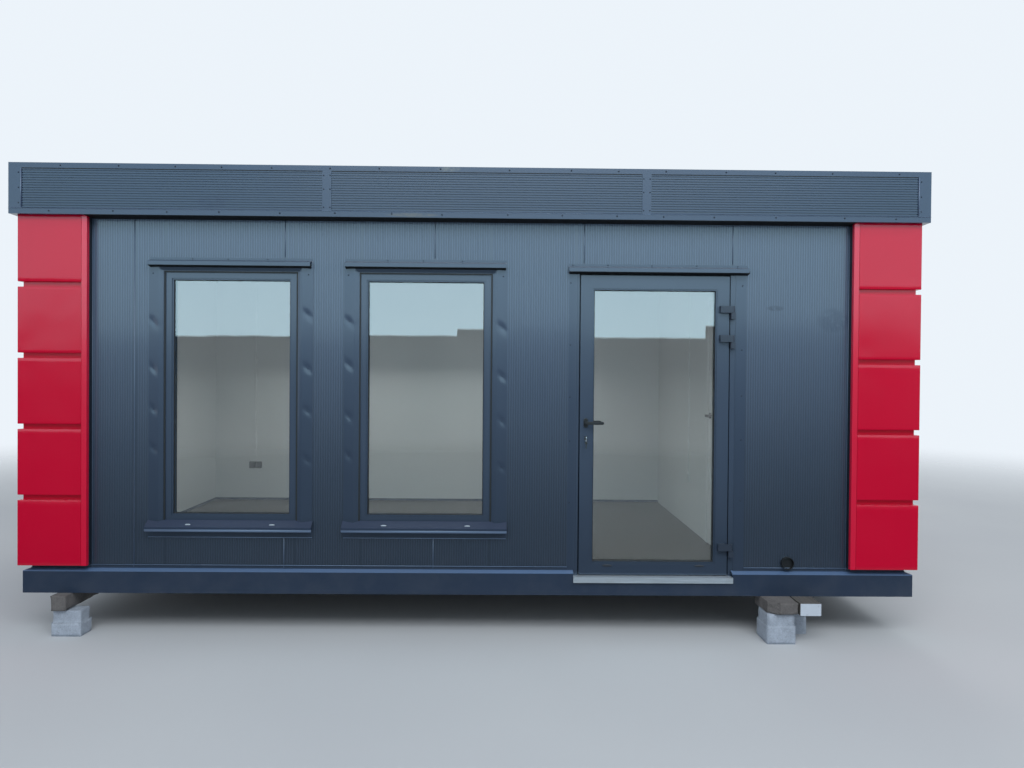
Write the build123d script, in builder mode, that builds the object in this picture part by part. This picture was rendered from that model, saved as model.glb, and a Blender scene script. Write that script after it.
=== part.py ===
"""Portable site cabin: steel base and roof frames, sandwich walls, ribbed fascia,
red corner cassettes, two fixed-frame windows, a glazed entrance door and an inner door.
Millimetres, +Z up, front towards -Y, origin on the ground under the middle of the cabin."""
import os
from build123d import *

# overall
LENGTH = 6000.0
DEPTH = 3000.0
# supports under the corners of the base
CLEARANCE = 275.0
BLOCK_Y = 200.0
LEFT_BLOCK_Y = 130.0
BLOCK_IN = 7.0
LEFT_BLOCK_X = 204.0
LEFT_BLOCK_H = 172.0
LEFT_STEP = 92.0
LEFT_INSET = 320.0
LEFT_OUT = 55.0
PACKER_X = 102.0
PACKER_Y = 450.0
PACKER_OUT = 78.0
PACKER_SHIFT = 39.0
RIGHT_BLOCK_X = 197.0
RIGHT_BLOCK_H = 196.0
RIGHT_STEP = 121.0
RIGHT_INSET = 942.0
RIGHT_OUT = 140.0
SLAB_CORNER = 97.0
SLAB_BACK = 62.0
SLAB_END = 107.0
SLAB_OUT = 160.0
SLAB_Y = 265.0
BEARER_X = 136.0
BEARER_Y = 460.0
BEARER_INSET = 760.0
BEARER_BLOCK_OUT = -50.0
# base frame, a welded ring of rectangular tube
RAIL_H = 145.0
RAIL_W = 100.0
RAIL_T = 5.0
NOTCH_H = 88.0
JOIST_H = 98.0
JOIST_W = 50.0
JOIST_T = 4.0
JOIST_COUNT = 9
DECK_T = 22.0
# walls of ribbed sandwich panel
WALL_SET = 40.0
WALL_T = 60.0
WALL_TOP = 2530.0
POST = 60.0
POST_T = 5.0
PANEL_START = 720.0
PANEL_W = 1011.0
GROOVE_W = 3.0
GROOVE_D = 4.0
# roof and fascia
ROOF_BEAM_H = 150.0
ROOF_BEAM_W = 80.0
ROOF_BEAM_T = 5.0
ROOF_DECK_T = 100.0
CEILING_T = 30.0
MEMBRANE_T = 2.0
MEMBRANE_UP = 70.0
FASCIA_T = 55.0
FASCIA_BOTTOM = 2527.0
RIB_PITCH = 16.5
RIB_COUNT = 16
RIB_DEPTH = 1.5
RIB_CREST = 9.0
RIB_SLOPE = 1.5
LIP = 3.0
LIP_H = 35.0
CORNER_CAP_W = 86.0
STRAP_W = 60.0
STRAP_IN_LEFT = 2034.0
STRAP_IN_RIGHT = 1844.0
FASCIA_GAP = 4.0
# ledge over the base and trim at the foot of the wall
LEDGE_FRONT = 4.0
LEDGE_BACK = 17.0
SHEET = 2.0
TRIM_LOW = 20.0
TRIM_TOP = 40.0
TRIM_KICK = 6.0
# red corner cassettes
CASS_OUT = 23.0
CASS_D = 25.0
CASS_W = 422.0
CASS_BOTTOM = 188.0
CASS_JOINT = 643.0
CASS_PITCH = 474.0
CASS_COUNT = 5
CASS_GAP = 35.0
CASS_T = 2.0
CASS_R = 6.0
CASS_TOP_GAP = 1.0
TRIM_GAP = 2.0
TRIM_W = 35.0
LINER_SHORT = 2.0
# windows, their middles as shares of the length from the left end
WIN_SHARE = (0.2283, 0.4474)
WIN_W = 880.0
WIN_H = 1680.0
WIN_Z = 480.0
WIN_SET = 5.0
WIN_D = 70.0
WIN_FACE = 47.5
BEAD_W = 9.0
BEAD_D = 6.0
PANE_T = 24.0
PANE_SET = 20.0
PANE_BITE = 10.0
PANE_GAP = 2.0
SUR_FLANGE = 70.0
SUR_HEAD = 39.0
APRON_DROP = 111.0
APRON_GAP = 14.0
SUR_REVEAL = 29.0
SUR_RISE = 14.0
SUR_BACK = 4.0
SUR_SHADOW = 13.0
SILL_SIDE = 5.0
SILL_OUT = 52.0
SILL_SEAT = 8.0
SILL_DROP = 40.0
SILL_LIP = 14.0
CAP_OUT = 50.0
CAP_FALL = 16.0
CAP_LIP = 25.0
CAP_LEG = 16.0
CAP_LIFT = 4.0
CAP_PAST = 3.0
CAP_SHORT = 9.0
DOOR_CAP_LIFT = 21.0
# entrance door, its middle as a share of the length too
DOOR_SHARE = 0.7065
DOOR_W = 1012.0
DOOR_TOP = 2166.0
DOOR_T = 60.0
DOOR_PROUD = 5.0
DOOR_GAP = 8.0
DOOR_BOTTOM_GAP = 6.0
STILE = 92.5
RAIL_TOP = 98.5
RAIL_BOTTOM = 87.0
JAMB_LOCK = 18.5
JAMB_HINGE = 36.0
JAMB_HEAD = 31.0
JAMB_D = 75.0
STOP_W = 18.0
STOP_D = 15.0
DOOR_SUR = 54.0
DOOR_SUR_HINGE = 71.0
THRESH_T = 5.5
THRESH_OUT = 15.0
THRESH_PAST = 12.5
THRESH_SHORT = 15.0
HINGE_Z = (303.0, 1720.0, 1918.0)
BARREL_R = 14.0
BARREL_OUT = 16.0
BARREL_SIDE = 16.0
HINGE_LEAF_W = 83.0
HINGE_PAD_W = 48.0
HINGE_FRAME_W = 19.0
HINGE_H = 46.0
HINGE_BASE_H = 43.0
HINGE_SPLIT = 2.0
HINGE_PLATE = 9.0
PIN_R = 5.0
PIN_GAP = 0.5
PIN_UP = 30.0
# handle and lock
SPINDLE_IN = 41.0
SPINDLE_Z = 1164.0
SPINDLE = 8.0
BORE_R = 12.0
NECK_R = 9.0
ROSE_W = 30.0
ROSE_H = 64.0
ROSE_T = 8.0
ROSE_GAP = 1.0
LEVER_L = 129.0
LEVER_H = 20.0
LEVER_T = 12.0
NECK_L = 42.0
EASE = 2.0
LOCK_DOWN = 105.0
LOCK_W = 17.0
LOCK_H = 33.0
LOCK_OUT = 9.0
LOCK_GAP = 0.5
# partition and inner door
PART_PAST = 111.0
PART_T = 60.0
IN_CLEAR = 130.0
IN_W = 800.0
IN_TOP = 2100.0
IN_T = 40.0
IN_GAP = 8.0
IN_FLOOR_GAP = 7.0
IN_PROUD = 8.0
IN_SET = 3.0
IN_JAMB = 30.0
IN_STOP = 12.0
IN_BARREL_R = 8.0
IN_BARREL_H = 80.0
IN_HINGE_Z = (350.0, 1880.0)
IN_BACKSET = 65.0
IN_SPINDLE_Z = 1170.0
IN_LEVER_L = 125.0
# services
STUB_PAST = 196.0
STUB_Z = 217.5
STUB_R = 42.0
STUB_WALL = 3.5
STUB_OUT = 28.0
STUB_IN = 60.0
STUB_PLUG = 22.0
STUB_GAP = 0.5
SOCKET_W = 62.0
SOCKET_H = 70.0
SOCKET_T = 14.0
SOCKET_SPACE = 6.0
SOCKET_Z = 465.0
SOCKET_INSET = 530.0
PART_SOCKET_Z = 535.0
PART_SOCKET_IN = 1540.0
DUCT_W = 16.0
DUCT_T = 10.0

# derived planes and levels; Z0 is the underside of the base frame
Z0 = CLEARANCE
HX = LENGTH / 2
HY = DEPTH / 2
FRONT = -HY
PANEL_JOINT = -HX + PANEL_START
STRAP_LEFT = -HX + STRAP_IN_LEFT
STRAP_RIGHT = HX - STRAP_IN_RIGHT
WIN_X = tuple(-HX + share * LENGTH for share in WIN_SHARE)
DOOR_X = -HX + DOOR_SHARE * LENGTH
WALL_Y = FRONT + WALL_SET
WALL_IN = WALL_Y + WALL_T
WALL_X = HX - WALL_SET
ROOM_X = WALL_X - WALL_T
POST_X = WALL_X - POST
POST_Y = -WALL_Y - POST
FLOOR = Z0 + JOIST_H + DECK_T
RAIL_TOP_Z = Z0 + RAIL_H
WALL_TOP_Z = Z0 + WALL_TOP
WALL_H = WALL_TOP_Z - RAIL_TOP_Z
CEILING_Z = WALL_TOP_Z - CEILING_T
DECK_Z = WALL_TOP_Z + ROOF_BEAM_H
FASCIA_Z = Z0 + FASCIA_BOTTOM
LIP_TOP_Z = FASCIA_Z + LIP_H
RIBS_TOP_Z = LIP_TOP_Z + RIB_COUNT * RIB_PITCH
FASCIA_TOP_Z = RIBS_TOP_Z + LIP_H - LIP
PANE_Y = WALL_Y + WIN_SET + PANE_SET
LEAF_L = DOOR_X - DOOR_W / 2
LEAF_R = DOOR_X + DOOR_W / 2
LEAF_Y = WALL_Y - DOOR_PROUD
LEAF_BACK = LEAF_Y + DOOR_T
THRESH_Z = FLOOR + THRESH_T
LEAF_Z = THRESH_Z + DOOR_BOTTOM_GAP
LEAF_TOP = Z0 + DOOR_TOP
OPEN_L = LEAF_L - DOOR_GAP
OPEN_R = LEAF_R + DOOR_GAP
JAMB_L = OPEN_L - JAMB_LOCK
JAMB_R = OPEN_R + JAMB_HINGE
PART_X = JAMB_R + PART_PAST
STUB_X = PART_X + PART_T + STUB_PAST
SUR_L = JAMB_L - DOOR_SUR
SUR_R = JAMB_R + DOOR_SUR_HINGE
THRESH_L = JAMB_L - THRESH_PAST
THRESH_R = JAMB_R - THRESH_SHORT
HEAD_Z = LEAF_TOP + DOOR_GAP
HEAD_TOP = HEAD_Z + JAMB_HEAD
PIVOT_X = LEAF_R + BARREL_SIDE
PIVOT_Y = LEAF_Y - BARREL_OUT
GLASS_W = DOOR_W - 2 * STILE
GLASS_Z = LEAF_Z + RAIL_BOTTOM
GLASS_H = LEAF_TOP - RAIL_TOP - GLASS_Z
SPIN_X = LEAF_L + SPINDLE_IN
SPIN_Z = Z0 + SPINDLE_Z
LOCK_Z = SPIN_Z - LOCK_DOWN
IN_Y = WALL_IN + IN_CLEAR
IN_END = IN_Y + IN_W
IN_LEAF_Z = FLOOR + IN_FLOOR_GAP
IN_LEAF_TOP = Z0 + IN_TOP
IN_OPEN_TOP = IN_LEAF_TOP + IN_GAP
IN_JAMB_A = IN_Y - IN_GAP - IN_JAMB
IN_JAMB_B = IN_END + IN_GAP + IN_JAMB
IN_HEAD_TOP = IN_OPEN_TOP + IN_JAMB
IN_FACE = PART_X - IN_PROUD
IN_LEAF_X = IN_FACE + IN_SET
IN_PIVOT_X = IN_LEAF_X - IN_BARREL_R - IN_SET
IN_PIVOT_Y = IN_Y - IN_GAP / 2
IN_SPIN_Y = IN_END - IN_BACKSET
IN_SPIN_Z = Z0 + IN_SPINDLE_Z
SOCKET_X = -HX + SOCKET_INSET
SOCKET_Y = WALL_IN + PART_SOCKET_IN
MIN3 = (Align.MIN, Align.MIN, Align.MIN)
LOW = (Align.CENTER, Align.CENTER, Align.MIN)


def block(x0, x1, y0, y1, z0, z1, mode=Mode.ADD):
    """Add a plain box between two corners to the active part."""
    with Locations((x0, y0, z0)):
        Box(x1 - x0, y1 - y0, z1 - z0, align=MIN3, mode=mode)


def ring(x, y, width, z0, z1, mode=Mode.ADD):
    """Add an upright rectangular ring, x and y its outer half sizes."""
    with BuildSketch(Plane.XY.offset(z0)) as plan:
        Rectangle(2 * x, 2 * y)
        Rectangle(2 * (x - width), 2 * (y - width), mode=Mode.SUBTRACT)
    extrude(plan.sketch, amount=z1 - z0, mode=mode)


def grooves(y, along, low, high):
    """Cut the upright joints between wall panels into the face at y."""
    for x in along:
        block(x - GROOVE_W / 2, x + GROOVE_W / 2, y - GROOVE_D, y + GROOVE_D, low, high, Mode.SUBTRACT)


def rib_profile(face, inward):
    """Outline of a ribbed fascia panel as (offset, height) points, face being its outer crest."""
    back = face + inward * FASCIA_T
    valley = face + inward * RIB_DEPTH
    points = [(back, FASCIA_Z), (face, FASCIA_Z), (face, LIP_TOP_Z)]
    for i in range(RIB_COUNT):
        z = LIP_TOP_Z + i * RIB_PITCH
        flat = (RIB_PITCH - RIB_CREST) / 2
        points += [(valley, z + RIB_SLOPE), (valley, z + flat - RIB_SLOPE)]
        points += [(face, z + flat), (face, z + flat + RIB_CREST)]
        points += [(valley, z + flat + RIB_CREST + RIB_SLOPE), (valley, z + RIB_PITCH - 0.01)]
    points += [(face, RIBS_TOP_Z + RIB_SLOPE), (face, FASCIA_TOP_Z), (back, FASCIA_TOP_Z)]
    return points


def stepped_block(cx, side, width, deep, out, height, step):
    """A cast block with a wider foot, its front standing out past the base's edge."""
    for low, high, inset in ((0, step, 0), (step, height, BLOCK_IN)):
        with BuildSketch(Plane.XY.offset(low)) as plan:
            with Locations((cx, side * (HY + out - deep / 2))):
                Rectangle(width - 2 * inset, deep - 2 * inset)
            chamfer(plan.vertices(), length=8)
        extrude(plan.sketch, amount=high - low)


# supports
left_x = -HX + LEFT_INSET
right_x = HX - RIGHT_INSET
bearer_x = HX - BEARER_INSET

with BuildPart() as support_blocks:
    for s in (-1, 1):
        stepped_block(left_x, s, LEFT_BLOCK_X, LEFT_BLOCK_Y, LEFT_OUT, LEFT_BLOCK_H, LEFT_STEP)
        stepped_block(right_x, s, RIGHT_BLOCK_X, BLOCK_Y, RIGHT_OUT, RIGHT_BLOCK_H, RIGHT_STEP)
        stepped_block(bearer_x, s, BEARER_X, BLOCK_Y, BEARER_BLOCK_OUT, RIGHT_BLOCK_H, RIGHT_STEP)

with BuildPart() as support_packers:
    for s in (-1, 1):
        with BuildSketch(Plane.XY.offset(LEFT_BLOCK_H)):
            with Locations((left_x - PACKER_SHIFT, s * (HY + PACKER_OUT - PACKER_Y / 2))):
                Rectangle(PACKER_X, PACKER_Y)
        extrude(amount=Z0 - LEFT_BLOCK_H)
        edge = HY + SLAB_OUT
        with BuildSketch(Plane.XY.offset(RIGHT_BLOCK_H)):
            with BuildLine():
                Polyline((right_x + SLAB_END - SLAB_CORNER - PACKER_X, s * (edge - SLAB_BACK)),
                         (right_x - SLAB_CORNER / 4, s * edge), (right_x + SLAB_END, s * (edge - BLOCK_IN)),
                         (right_x + SLAB_END, s * (edge - SLAB_Y)),
                         (right_x - SLAB_CORNER, s * (edge - SLAB_Y)), close=True)
            make_face()
        extrude(amount=Z0 - RIGHT_BLOCK_H)

with BuildPart() as support_bearers:
    for s in (-1, 1):
        with BuildSketch(Plane.XY.offset(RIGHT_BLOCK_H)):
            with Locations((bearer_x, s * (HY + SLAB_OUT - BEARER_Y / 2))):
                Rectangle(BEARER_X, BEARER_Y)
        extrude(amount=Z0 - RIGHT_BLOCK_H)

# base
with BuildPart() as base_frame:
    ring(HX, HY, RAIL_W, Z0, RAIL_TOP_Z)
    with BuildSketch(Plane.XY.offset(Z0 + RAIL_T)):
        Rectangle(2 * (HX - RAIL_T), 2 * (HY - RAIL_T))
        Rectangle(2 * (HX - RAIL_W + RAIL_T), 2 * (HY - RAIL_W + RAIL_T), mode=Mode.SUBTRACT)
    extrude(amount=RAIL_H - 2 * RAIL_T, mode=Mode.SUBTRACT)
    block(THRESH_L, THRESH_R, FRONT, WALL_Y, Z0 + NOTCH_H, RAIL_TOP_Z, Mode.SUBTRACT)
    block(THRESH_L, JAMB_R, WALL_Y, FRONT + RAIL_W, Z0 + NOTCH_H, RAIL_TOP_Z, Mode.SUBTRACT)

with BuildPart() as floor_joists:
    span = DEPTH - 2 * RAIL_W
    pitch = (LENGTH - 2 * RAIL_W) / (JOIST_COUNT + 1)
    with BuildSketch(Plane.XZ.offset(HY - RAIL_W)):
        for i in range(JOIST_COUNT):
            x = -HX + RAIL_W + (i + 1) * pitch
            with Locations((x, Z0 + JOIST_H / 2)):
                Rectangle(JOIST_W, JOIST_H)
            with Locations((x + JOIST_T, Z0 + JOIST_H / 2)):
                Rectangle(JOIST_W, JOIST_H - 2 * JOIST_T, mode=Mode.SUBTRACT)
    extrude(amount=-span)

with BuildPart() as floor_deck:
    block(-HX + RAIL_W, HX - RAIL_W, FRONT + RAIL_W, HY - RAIL_W, Z0 + JOIST_H, FLOOR)

with BuildPart() as base_ledge:
    with BuildLine() as run:
        Polyline((THRESH_L, FRONT, RAIL_TOP_Z), (-HX, FRONT, RAIL_TOP_Z), (-HX, HY, RAIL_TOP_Z),
                 (HX, HY, RAIL_TOP_Z), (HX, FRONT, RAIL_TOP_Z), (THRESH_R, FRONT, RAIL_TOP_Z))
    with BuildSketch(Plane(origin=(THRESH_L, FRONT, RAIL_TOP_Z), x_dir=(0, 1, 0), z_dir=(1, 0, 0))):
        with BuildLine():
            Polyline((0, 0), (0, LEDGE_FRONT), (WALL_SET, LEDGE_BACK), (WALL_SET, LEDGE_BACK - SHEET),
                     (SHEET, LEDGE_FRONT - SHEET), (SHEET, 0), close=True)
        make_face()
    sweep(path=run.line, transition=Transition.RIGHT)

with BuildPart() as wall_foot_trim:
    with BuildLine() as run:
        Polyline((THRESH_L, WALL_Y, RAIL_TOP_Z), (-WALL_X, WALL_Y, RAIL_TOP_Z),
                 (-WALL_X, -WALL_Y, RAIL_TOP_Z), (WALL_X, -WALL_Y, RAIL_TOP_Z),
                 (WALL_X, WALL_Y, RAIL_TOP_Z), (JAMB_R, WALL_Y, RAIL_TOP_Z))
    foot = Plane(origin=(THRESH_L, WALL_Y, RAIL_TOP_Z), x_dir=(0, 1, 0), z_dir=(1, 0, 0))
    with BuildSketch(foot):
        with BuildLine():
            Polyline((0, TRIM_TOP), (-SHEET, TRIM_TOP), (-SHEET, TRIM_LOW + SHEET), (-TRIM_KICK, TRIM_LOW),
                     (-TRIM_KICK, TRIM_LOW - SHEET), (0, TRIM_LOW), close=True)
        make_face()
    sweep(path=run.line, transition=Transition.RIGHT)
    with BuildSketch(Plane.XZ.offset(-WALL_Y)):
        with Locations((STUB_X, Z0 + STUB_Z)):
            Circle(STUB_R + STUB_GAP)
    extrude(amount=STUB_OUT, mode=Mode.SUBTRACT)

# posts and walls
with BuildPart() as corner_posts:
    with BuildSketch(Plane.XY.offset(RAIL_TOP_Z)):
        with GridLocations(2 * WALL_X - POST, -2 * WALL_Y - POST, 2, 2):
            Rectangle(POST, POST)
            Rectangle(POST - 2 * POST_T, POST - 2 * POST_T, mode=Mode.SUBTRACT)
    extrude(amount=WALL_H)

joints = [PANEL_JOINT + i * PANEL_W for i in range(5)]

with BuildPart() as front_wall_left:
    block(-POST_X, JAMB_L, WALL_Y, WALL_IN, RAIL_TOP_Z, WALL_TOP_Z)
    for x in WIN_X:
        block(x - WIN_W / 2, x + WIN_W / 2, WALL_Y, WALL_IN, Z0 + WIN_Z, Z0 + WIN_Z + WIN_H, Mode.SUBTRACT)
    grooves(WALL_Y, joints[:3], RAIL_TOP_Z, WALL_TOP_Z)

with BuildPart() as front_wall_over_door:
    block(JAMB_L, JAMB_R, WALL_Y, WALL_IN, HEAD_TOP, WALL_TOP_Z)
    grooves(WALL_Y, joints[3:], HEAD_TOP, WALL_TOP_Z)

with BuildPart() as front_wall_right:
    block(JAMB_R, POST_X, WALL_Y, WALL_IN, RAIL_TOP_Z, WALL_TOP_Z)
    with BuildSketch(Plane.XZ.offset(-WALL_Y)):
        with Locations((STUB_X, Z0 + STUB_Z)):
            Circle(STUB_R)
    extrude(amount=-WALL_T, mode=Mode.SUBTRACT)

with BuildPart() as back_wall:
    block(-POST_X, POST_X, -WALL_IN, -WALL_Y, RAIL_TOP_Z, WALL_TOP_Z)
    grooves(-WALL_Y, joints, RAIL_TOP_Z, WALL_TOP_Z)

with BuildPart() as end_walls:
    for s in (-1, 1):
        x = s * (WALL_X - WALL_T / 2)
        block(x - WALL_T / 2, x + WALL_T / 2, -POST_Y, POST_Y, RAIL_TOP_Z, WALL_TOP_Z)
        for y in (-PANEL_W / 2, PANEL_W / 2):
            with Locations((s * WALL_X, y, RAIL_TOP_Z)):
                Box(2 * GROOVE_D, GROOVE_W, WALL_H, align=LOW, mode=Mode.SUBTRACT)

# roof
with BuildPart() as roof_frame:
    ring(HX, HY, ROOF_BEAM_W, WALL_TOP_Z, DECK_Z)
    ring(HX - ROOF_BEAM_T, HY - ROOF_BEAM_T, ROOF_BEAM_W, WALL_TOP_Z + ROOF_BEAM_T,
         DECK_Z - ROOF_BEAM_T, Mode.SUBTRACT)

with BuildPart() as ceiling:
    block(-ROOM_X, ROOM_X, WALL_IN, -WALL_IN, CEILING_Z, WALL_TOP_Z)

with BuildPart() as roof_deck:
    block(-HX, HX, -HY, HY, DECK_Z, DECK_Z + ROOF_DECK_T)

with BuildPart() as roof_membrane:
    top = DECK_Z + ROOF_DECK_T
    block(-HX, HX, -HY, HY, top, top + MEMBRANE_T)
    ring(HX, HY, MEMBRANE_T, top + MEMBRANE_T, top + MEMBRANE_UP)

# fascia of ribbed panel with its flashings
with BuildPart() as front_fascia:
    cuts = (-HX - FASCIA_T, STRAP_LEFT, STRAP_RIGHT, HX + FASCIA_T)
    for i in range(3):
        start = cuts[i] + (FASCIA_GAP / 2 if i else 0)
        end = cuts[i + 1] - (FASCIA_GAP / 2 if i < 2 else 0)
        with BuildSketch(Plane(origin=(start, 0, 0), x_dir=(0, 1, 0), z_dir=(1, 0, 0))):
            with BuildLine():
                Polyline(rib_profile(-HY - FASCIA_T, 1), close=True)
            make_face()
        extrude(amount=end - start)

with BuildPart() as back_fascia:
    cuts = (-HX - FASCIA_T, -STRAP_RIGHT, -STRAP_LEFT, HX + FASCIA_T)
    for i in range(3):
        start = cuts[i] + (FASCIA_GAP / 2 if i else 0)
        end = cuts[i + 1] - (FASCIA_GAP / 2 if i < 2 else 0)
        with BuildSketch(Plane(origin=(start, 0, 0), x_dir=(0, 1, 0), z_dir=(1, 0, 0))):
            with BuildLine():
                Polyline(rib_profile(HY + FASCIA_T, -1), close=True)
            make_face()
        extrude(amount=end - start)

with BuildPart() as end_fascias:
    for s in (-1, 1):
        with BuildSketch(Plane.XZ.offset(HY)):
            with BuildLine():
                Polyline(rib_profile(s * (HX + FASCIA_T), -s), close=True)
            make_face()
        extrude(amount=-DEPTH)

with BuildPart() as fascia_cap:
    ox = HX + FASCIA_T + LIP
    oy = HY + FASCIA_T + LIP
    inner = FASCIA_T + 2 * LIP + MEMBRANE_T
    ring(ox, oy, inner, FASCIA_TOP_Z, FASCIA_TOP_Z + LIP)
    ring(ox, oy, LIP, RIBS_TOP_Z, FASCIA_TOP_Z)
    ring(ox - inner + LIP, oy - inner + LIP, LIP, RIBS_TOP_Z, FASCIA_TOP_Z)

with BuildPart() as fascia_drip:
    width = FASCIA_T + LIP - CASS_OUT - CASS_T
    ring(ox, oy, width, FASCIA_Z - LIP, FASCIA_Z)
    ring(ox, oy, LIP, FASCIA_Z, LIP_TOP_Z)

with BuildPart() as fascia_corner_caps:
    for sx in (-1, 1):
        for sy in (-1, 1):
            cx = sx * (ox - CORNER_CAP_W / 2)
            cy = sy * (oy - CORNER_CAP_W / 2)
            with BuildSketch(Plane.XY.offset(LIP_TOP_Z)):
                with Locations((cx, cy)):
                    Rectangle(CORNER_CAP_W, CORNER_CAP_W)
                with Locations((cx - sx * LIP, cy - sy * LIP)):
                    Rectangle(CORNER_CAP_W, CORNER_CAP_W, mode=Mode.SUBTRACT)
            extrude(amount=RIBS_TOP_Z - LIP_TOP_Z)

with BuildPart() as fascia_straps:
    for s in (-1, 1):
        for x in (STRAP_LEFT, STRAP_RIGHT):
            with Locations((-s * x, s * (oy - LIP / 2), LIP_TOP_Z)):
                Box(STRAP_W, LIP, RIBS_TOP_Z - LIP_TOP_Z, align=LOW)


def cassette(sx, sy, low, high):
    """One red L-shaped tray folded round a corner, its edges turned back to the wall."""
    ex = HX + CASS_OUT
    ey = HY + CASS_OUT
    with BuildSketch(Plane.XY.offset(low)) as skin:
        with Locations((sx * (ex - CASS_W / 2), sy * (ey - CASS_W / 2))):
            Rectangle(CASS_W, CASS_W)
        with Locations((sx * (ex - CASS_D - CASS_W / 2), sy * (ey - CASS_D - CASS_W / 2))):
            Rectangle(CASS_W, CASS_W, mode=Mode.SUBTRACT)
        outer = skin.vertices().sort_by_distance((sx * ex, sy * ey, low))[0]
        fillet(outer, radius=CASS_R)
    extrude(skin.sketch, amount=high - low)
    with BuildSketch(Plane.XY.offset(low + CASS_T)) as hollow:
        with Locations((sx * (ex - CASS_W / 2), sy * (ey - CASS_W / 2))):
            Rectangle(CASS_W - 2 * CASS_T, CASS_W - 2 * CASS_T)
        with Locations((sx * (ex - CASS_D - CASS_W / 2), sy * (ey - CASS_D - CASS_W / 2))):
            Rectangle(CASS_W, CASS_W, mode=Mode.SUBTRACT)
    extrude(hollow.sketch, amount=high - low - 2 * CASS_T, mode=Mode.SUBTRACT)


def cassette_column(sx, sy):
    """Stack the trays of one corner with open joints between them."""
    for i in range(CASS_COUNT):
        low = Z0 + CASS_BOTTOM
        if i:
            low = Z0 + CASS_JOINT + (i - 1) * CASS_PITCH + CASS_GAP / 2
        high = Z0 + CASS_JOINT + i * CASS_PITCH - CASS_GAP / 2
        if i == CASS_COUNT - 1:
            high = FASCIA_Z - CASS_TOP_GAP
        cassette(sx, sy, low, high)


with BuildPart() as cassettes_front_left:
    cassette_column(-1, -1)

with BuildPart() as cassettes_front_right:
    cassette_column(1, -1)

with BuildPart() as cassettes_back_left:
    cassette_column(-1, 1)

with BuildPart() as cassettes_back_right:
    cassette_column(1, 1)

def corner_angle(outer, inner, reach):
    """L-shaped plate round every corner, from one inset to another behind the base's face."""
    for sx in (-1, 1):
        for sy in (-1, 1):
            with BuildSketch(Plane.XY.offset(Z0 + CASS_BOTTOM)) as plan:
                with Locations((sx * (HX - outer - reach / 2), sy * (HY - outer - reach / 2))):
                    Rectangle(reach, reach)
                with Locations((sx * (HX - inner - reach / 2), sy * (HY - inner - reach / 2))):
                    Rectangle(reach, reach, mode=Mode.SUBTRACT)
            extrude(plan.sketch, amount=WALL_TOP - CASS_BOTTOM)


tray_back = CASS_D - CASS_OUT
liner_face = tray_back + CASS_T
trim_end = CASS_W + TRIM_GAP + TRIM_W - CASS_OUT

with BuildPart() as cassette_backings:
    corner_angle(tray_back, liner_face, CASS_W - CASS_D)

with BuildPart() as column_liners:
    corner_angle(liner_face, WALL_SET, trim_end - LINER_SHORT - liner_face)

with BuildPart() as cassette_trims:
    deep = CASS_OUT + liner_face
    with BuildSketch(Plane.XY.offset(Z0 + CASS_BOTTOM)):
        for sx in (-1, 1):
            for sy in (-1, 1):
                with Locations((sx * (HX - trim_end + TRIM_W / 2), sy * (HY + CASS_OUT - deep / 2))):
                    Rectangle(TRIM_W, deep)
                    with Locations((0, -sy * CASS_T)):
                        Rectangle(TRIM_W - 2 * CASS_T, deep, mode=Mode.SUBTRACT)
                with Locations((sx * (HX + CASS_OUT - deep / 2), sy * (HY - trim_end + TRIM_W / 2))):
                    Rectangle(deep, TRIM_W)
                    with Locations((-sx * CASS_T, 0)):
                        Rectangle(deep, TRIM_W - 2 * CASS_T, mode=Mode.SUBTRACT)
    extrude(amount=FASCIA_BOTTOM - CASS_TOP_GAP - CASS_BOTTOM)


def glazed_frame(cx, cz, width, height, y, depth, left, low, top):
    """A frame with a stepped bead round its opening and a groove for the pane."""
    mid = cz + (low - top) / 2
    open_w = width - 2 * left
    open_h = height - low - top
    with BuildSketch(Plane.XZ.offset(-y)) as front:
        with Locations((cx, cz)):
            Rectangle(width, height)
        with Locations((cx, mid)):
            Rectangle(open_w, open_h, mode=Mode.SUBTRACT)
    extrude(front.sketch, amount=-depth)
    with BuildSketch(Plane.XZ.offset(-y)) as bead:
        with Locations((cx, mid)):
            Rectangle(open_w + 2 * BEAD_W, open_h + 2 * BEAD_W)
    extrude(bead.sketch, amount=-BEAD_D, mode=Mode.SUBTRACT)
    with BuildSketch(Plane.XZ.offset(-y - PANE_SET)) as groove:
        with Locations((cx, mid)):
            Rectangle(open_w + 2 * (PANE_BITE + PANE_GAP), open_h + 2 * (PANE_BITE + PANE_GAP))
    extrude(groove.sketch, amount=-PANE_T, mode=Mode.SUBTRACT)


# windows
win_mid = Z0 + WIN_Z + WIN_H / 2

with BuildPart() as window_frames:
    for x in WIN_X:
        glazed_frame(x, win_mid, WIN_W, WIN_H, WALL_Y + WIN_SET, WIN_D, WIN_FACE, WIN_FACE, WIN_FACE)

with BuildPart() as window_panes:
    with BuildSketch(Plane.XZ.offset(-PANE_Y)):
        for x in WIN_X:
            with Locations((x, win_mid)):
                Rectangle(WIN_W - 2 * WIN_FACE + 2 * PANE_BITE, WIN_H - 2 * WIN_FACE + 2 * PANE_BITE)
    extrude(amount=-PANE_T)

inner_w = WIN_W + 2 * SUR_SHADOW
fold_w = inner_w + 2 * SUR_REVEAL
outer_w = fold_w + 2 * SUR_FLANGE
sill_w = outer_w + 2 * SILL_SIDE
sill_back = Z0 + WIN_Z + SILL_SEAT
sill_y = WALL_Y
sill_tip = WALL_Y - SILL_OUT
sill_low = sill_back - SILL_DROP

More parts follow.
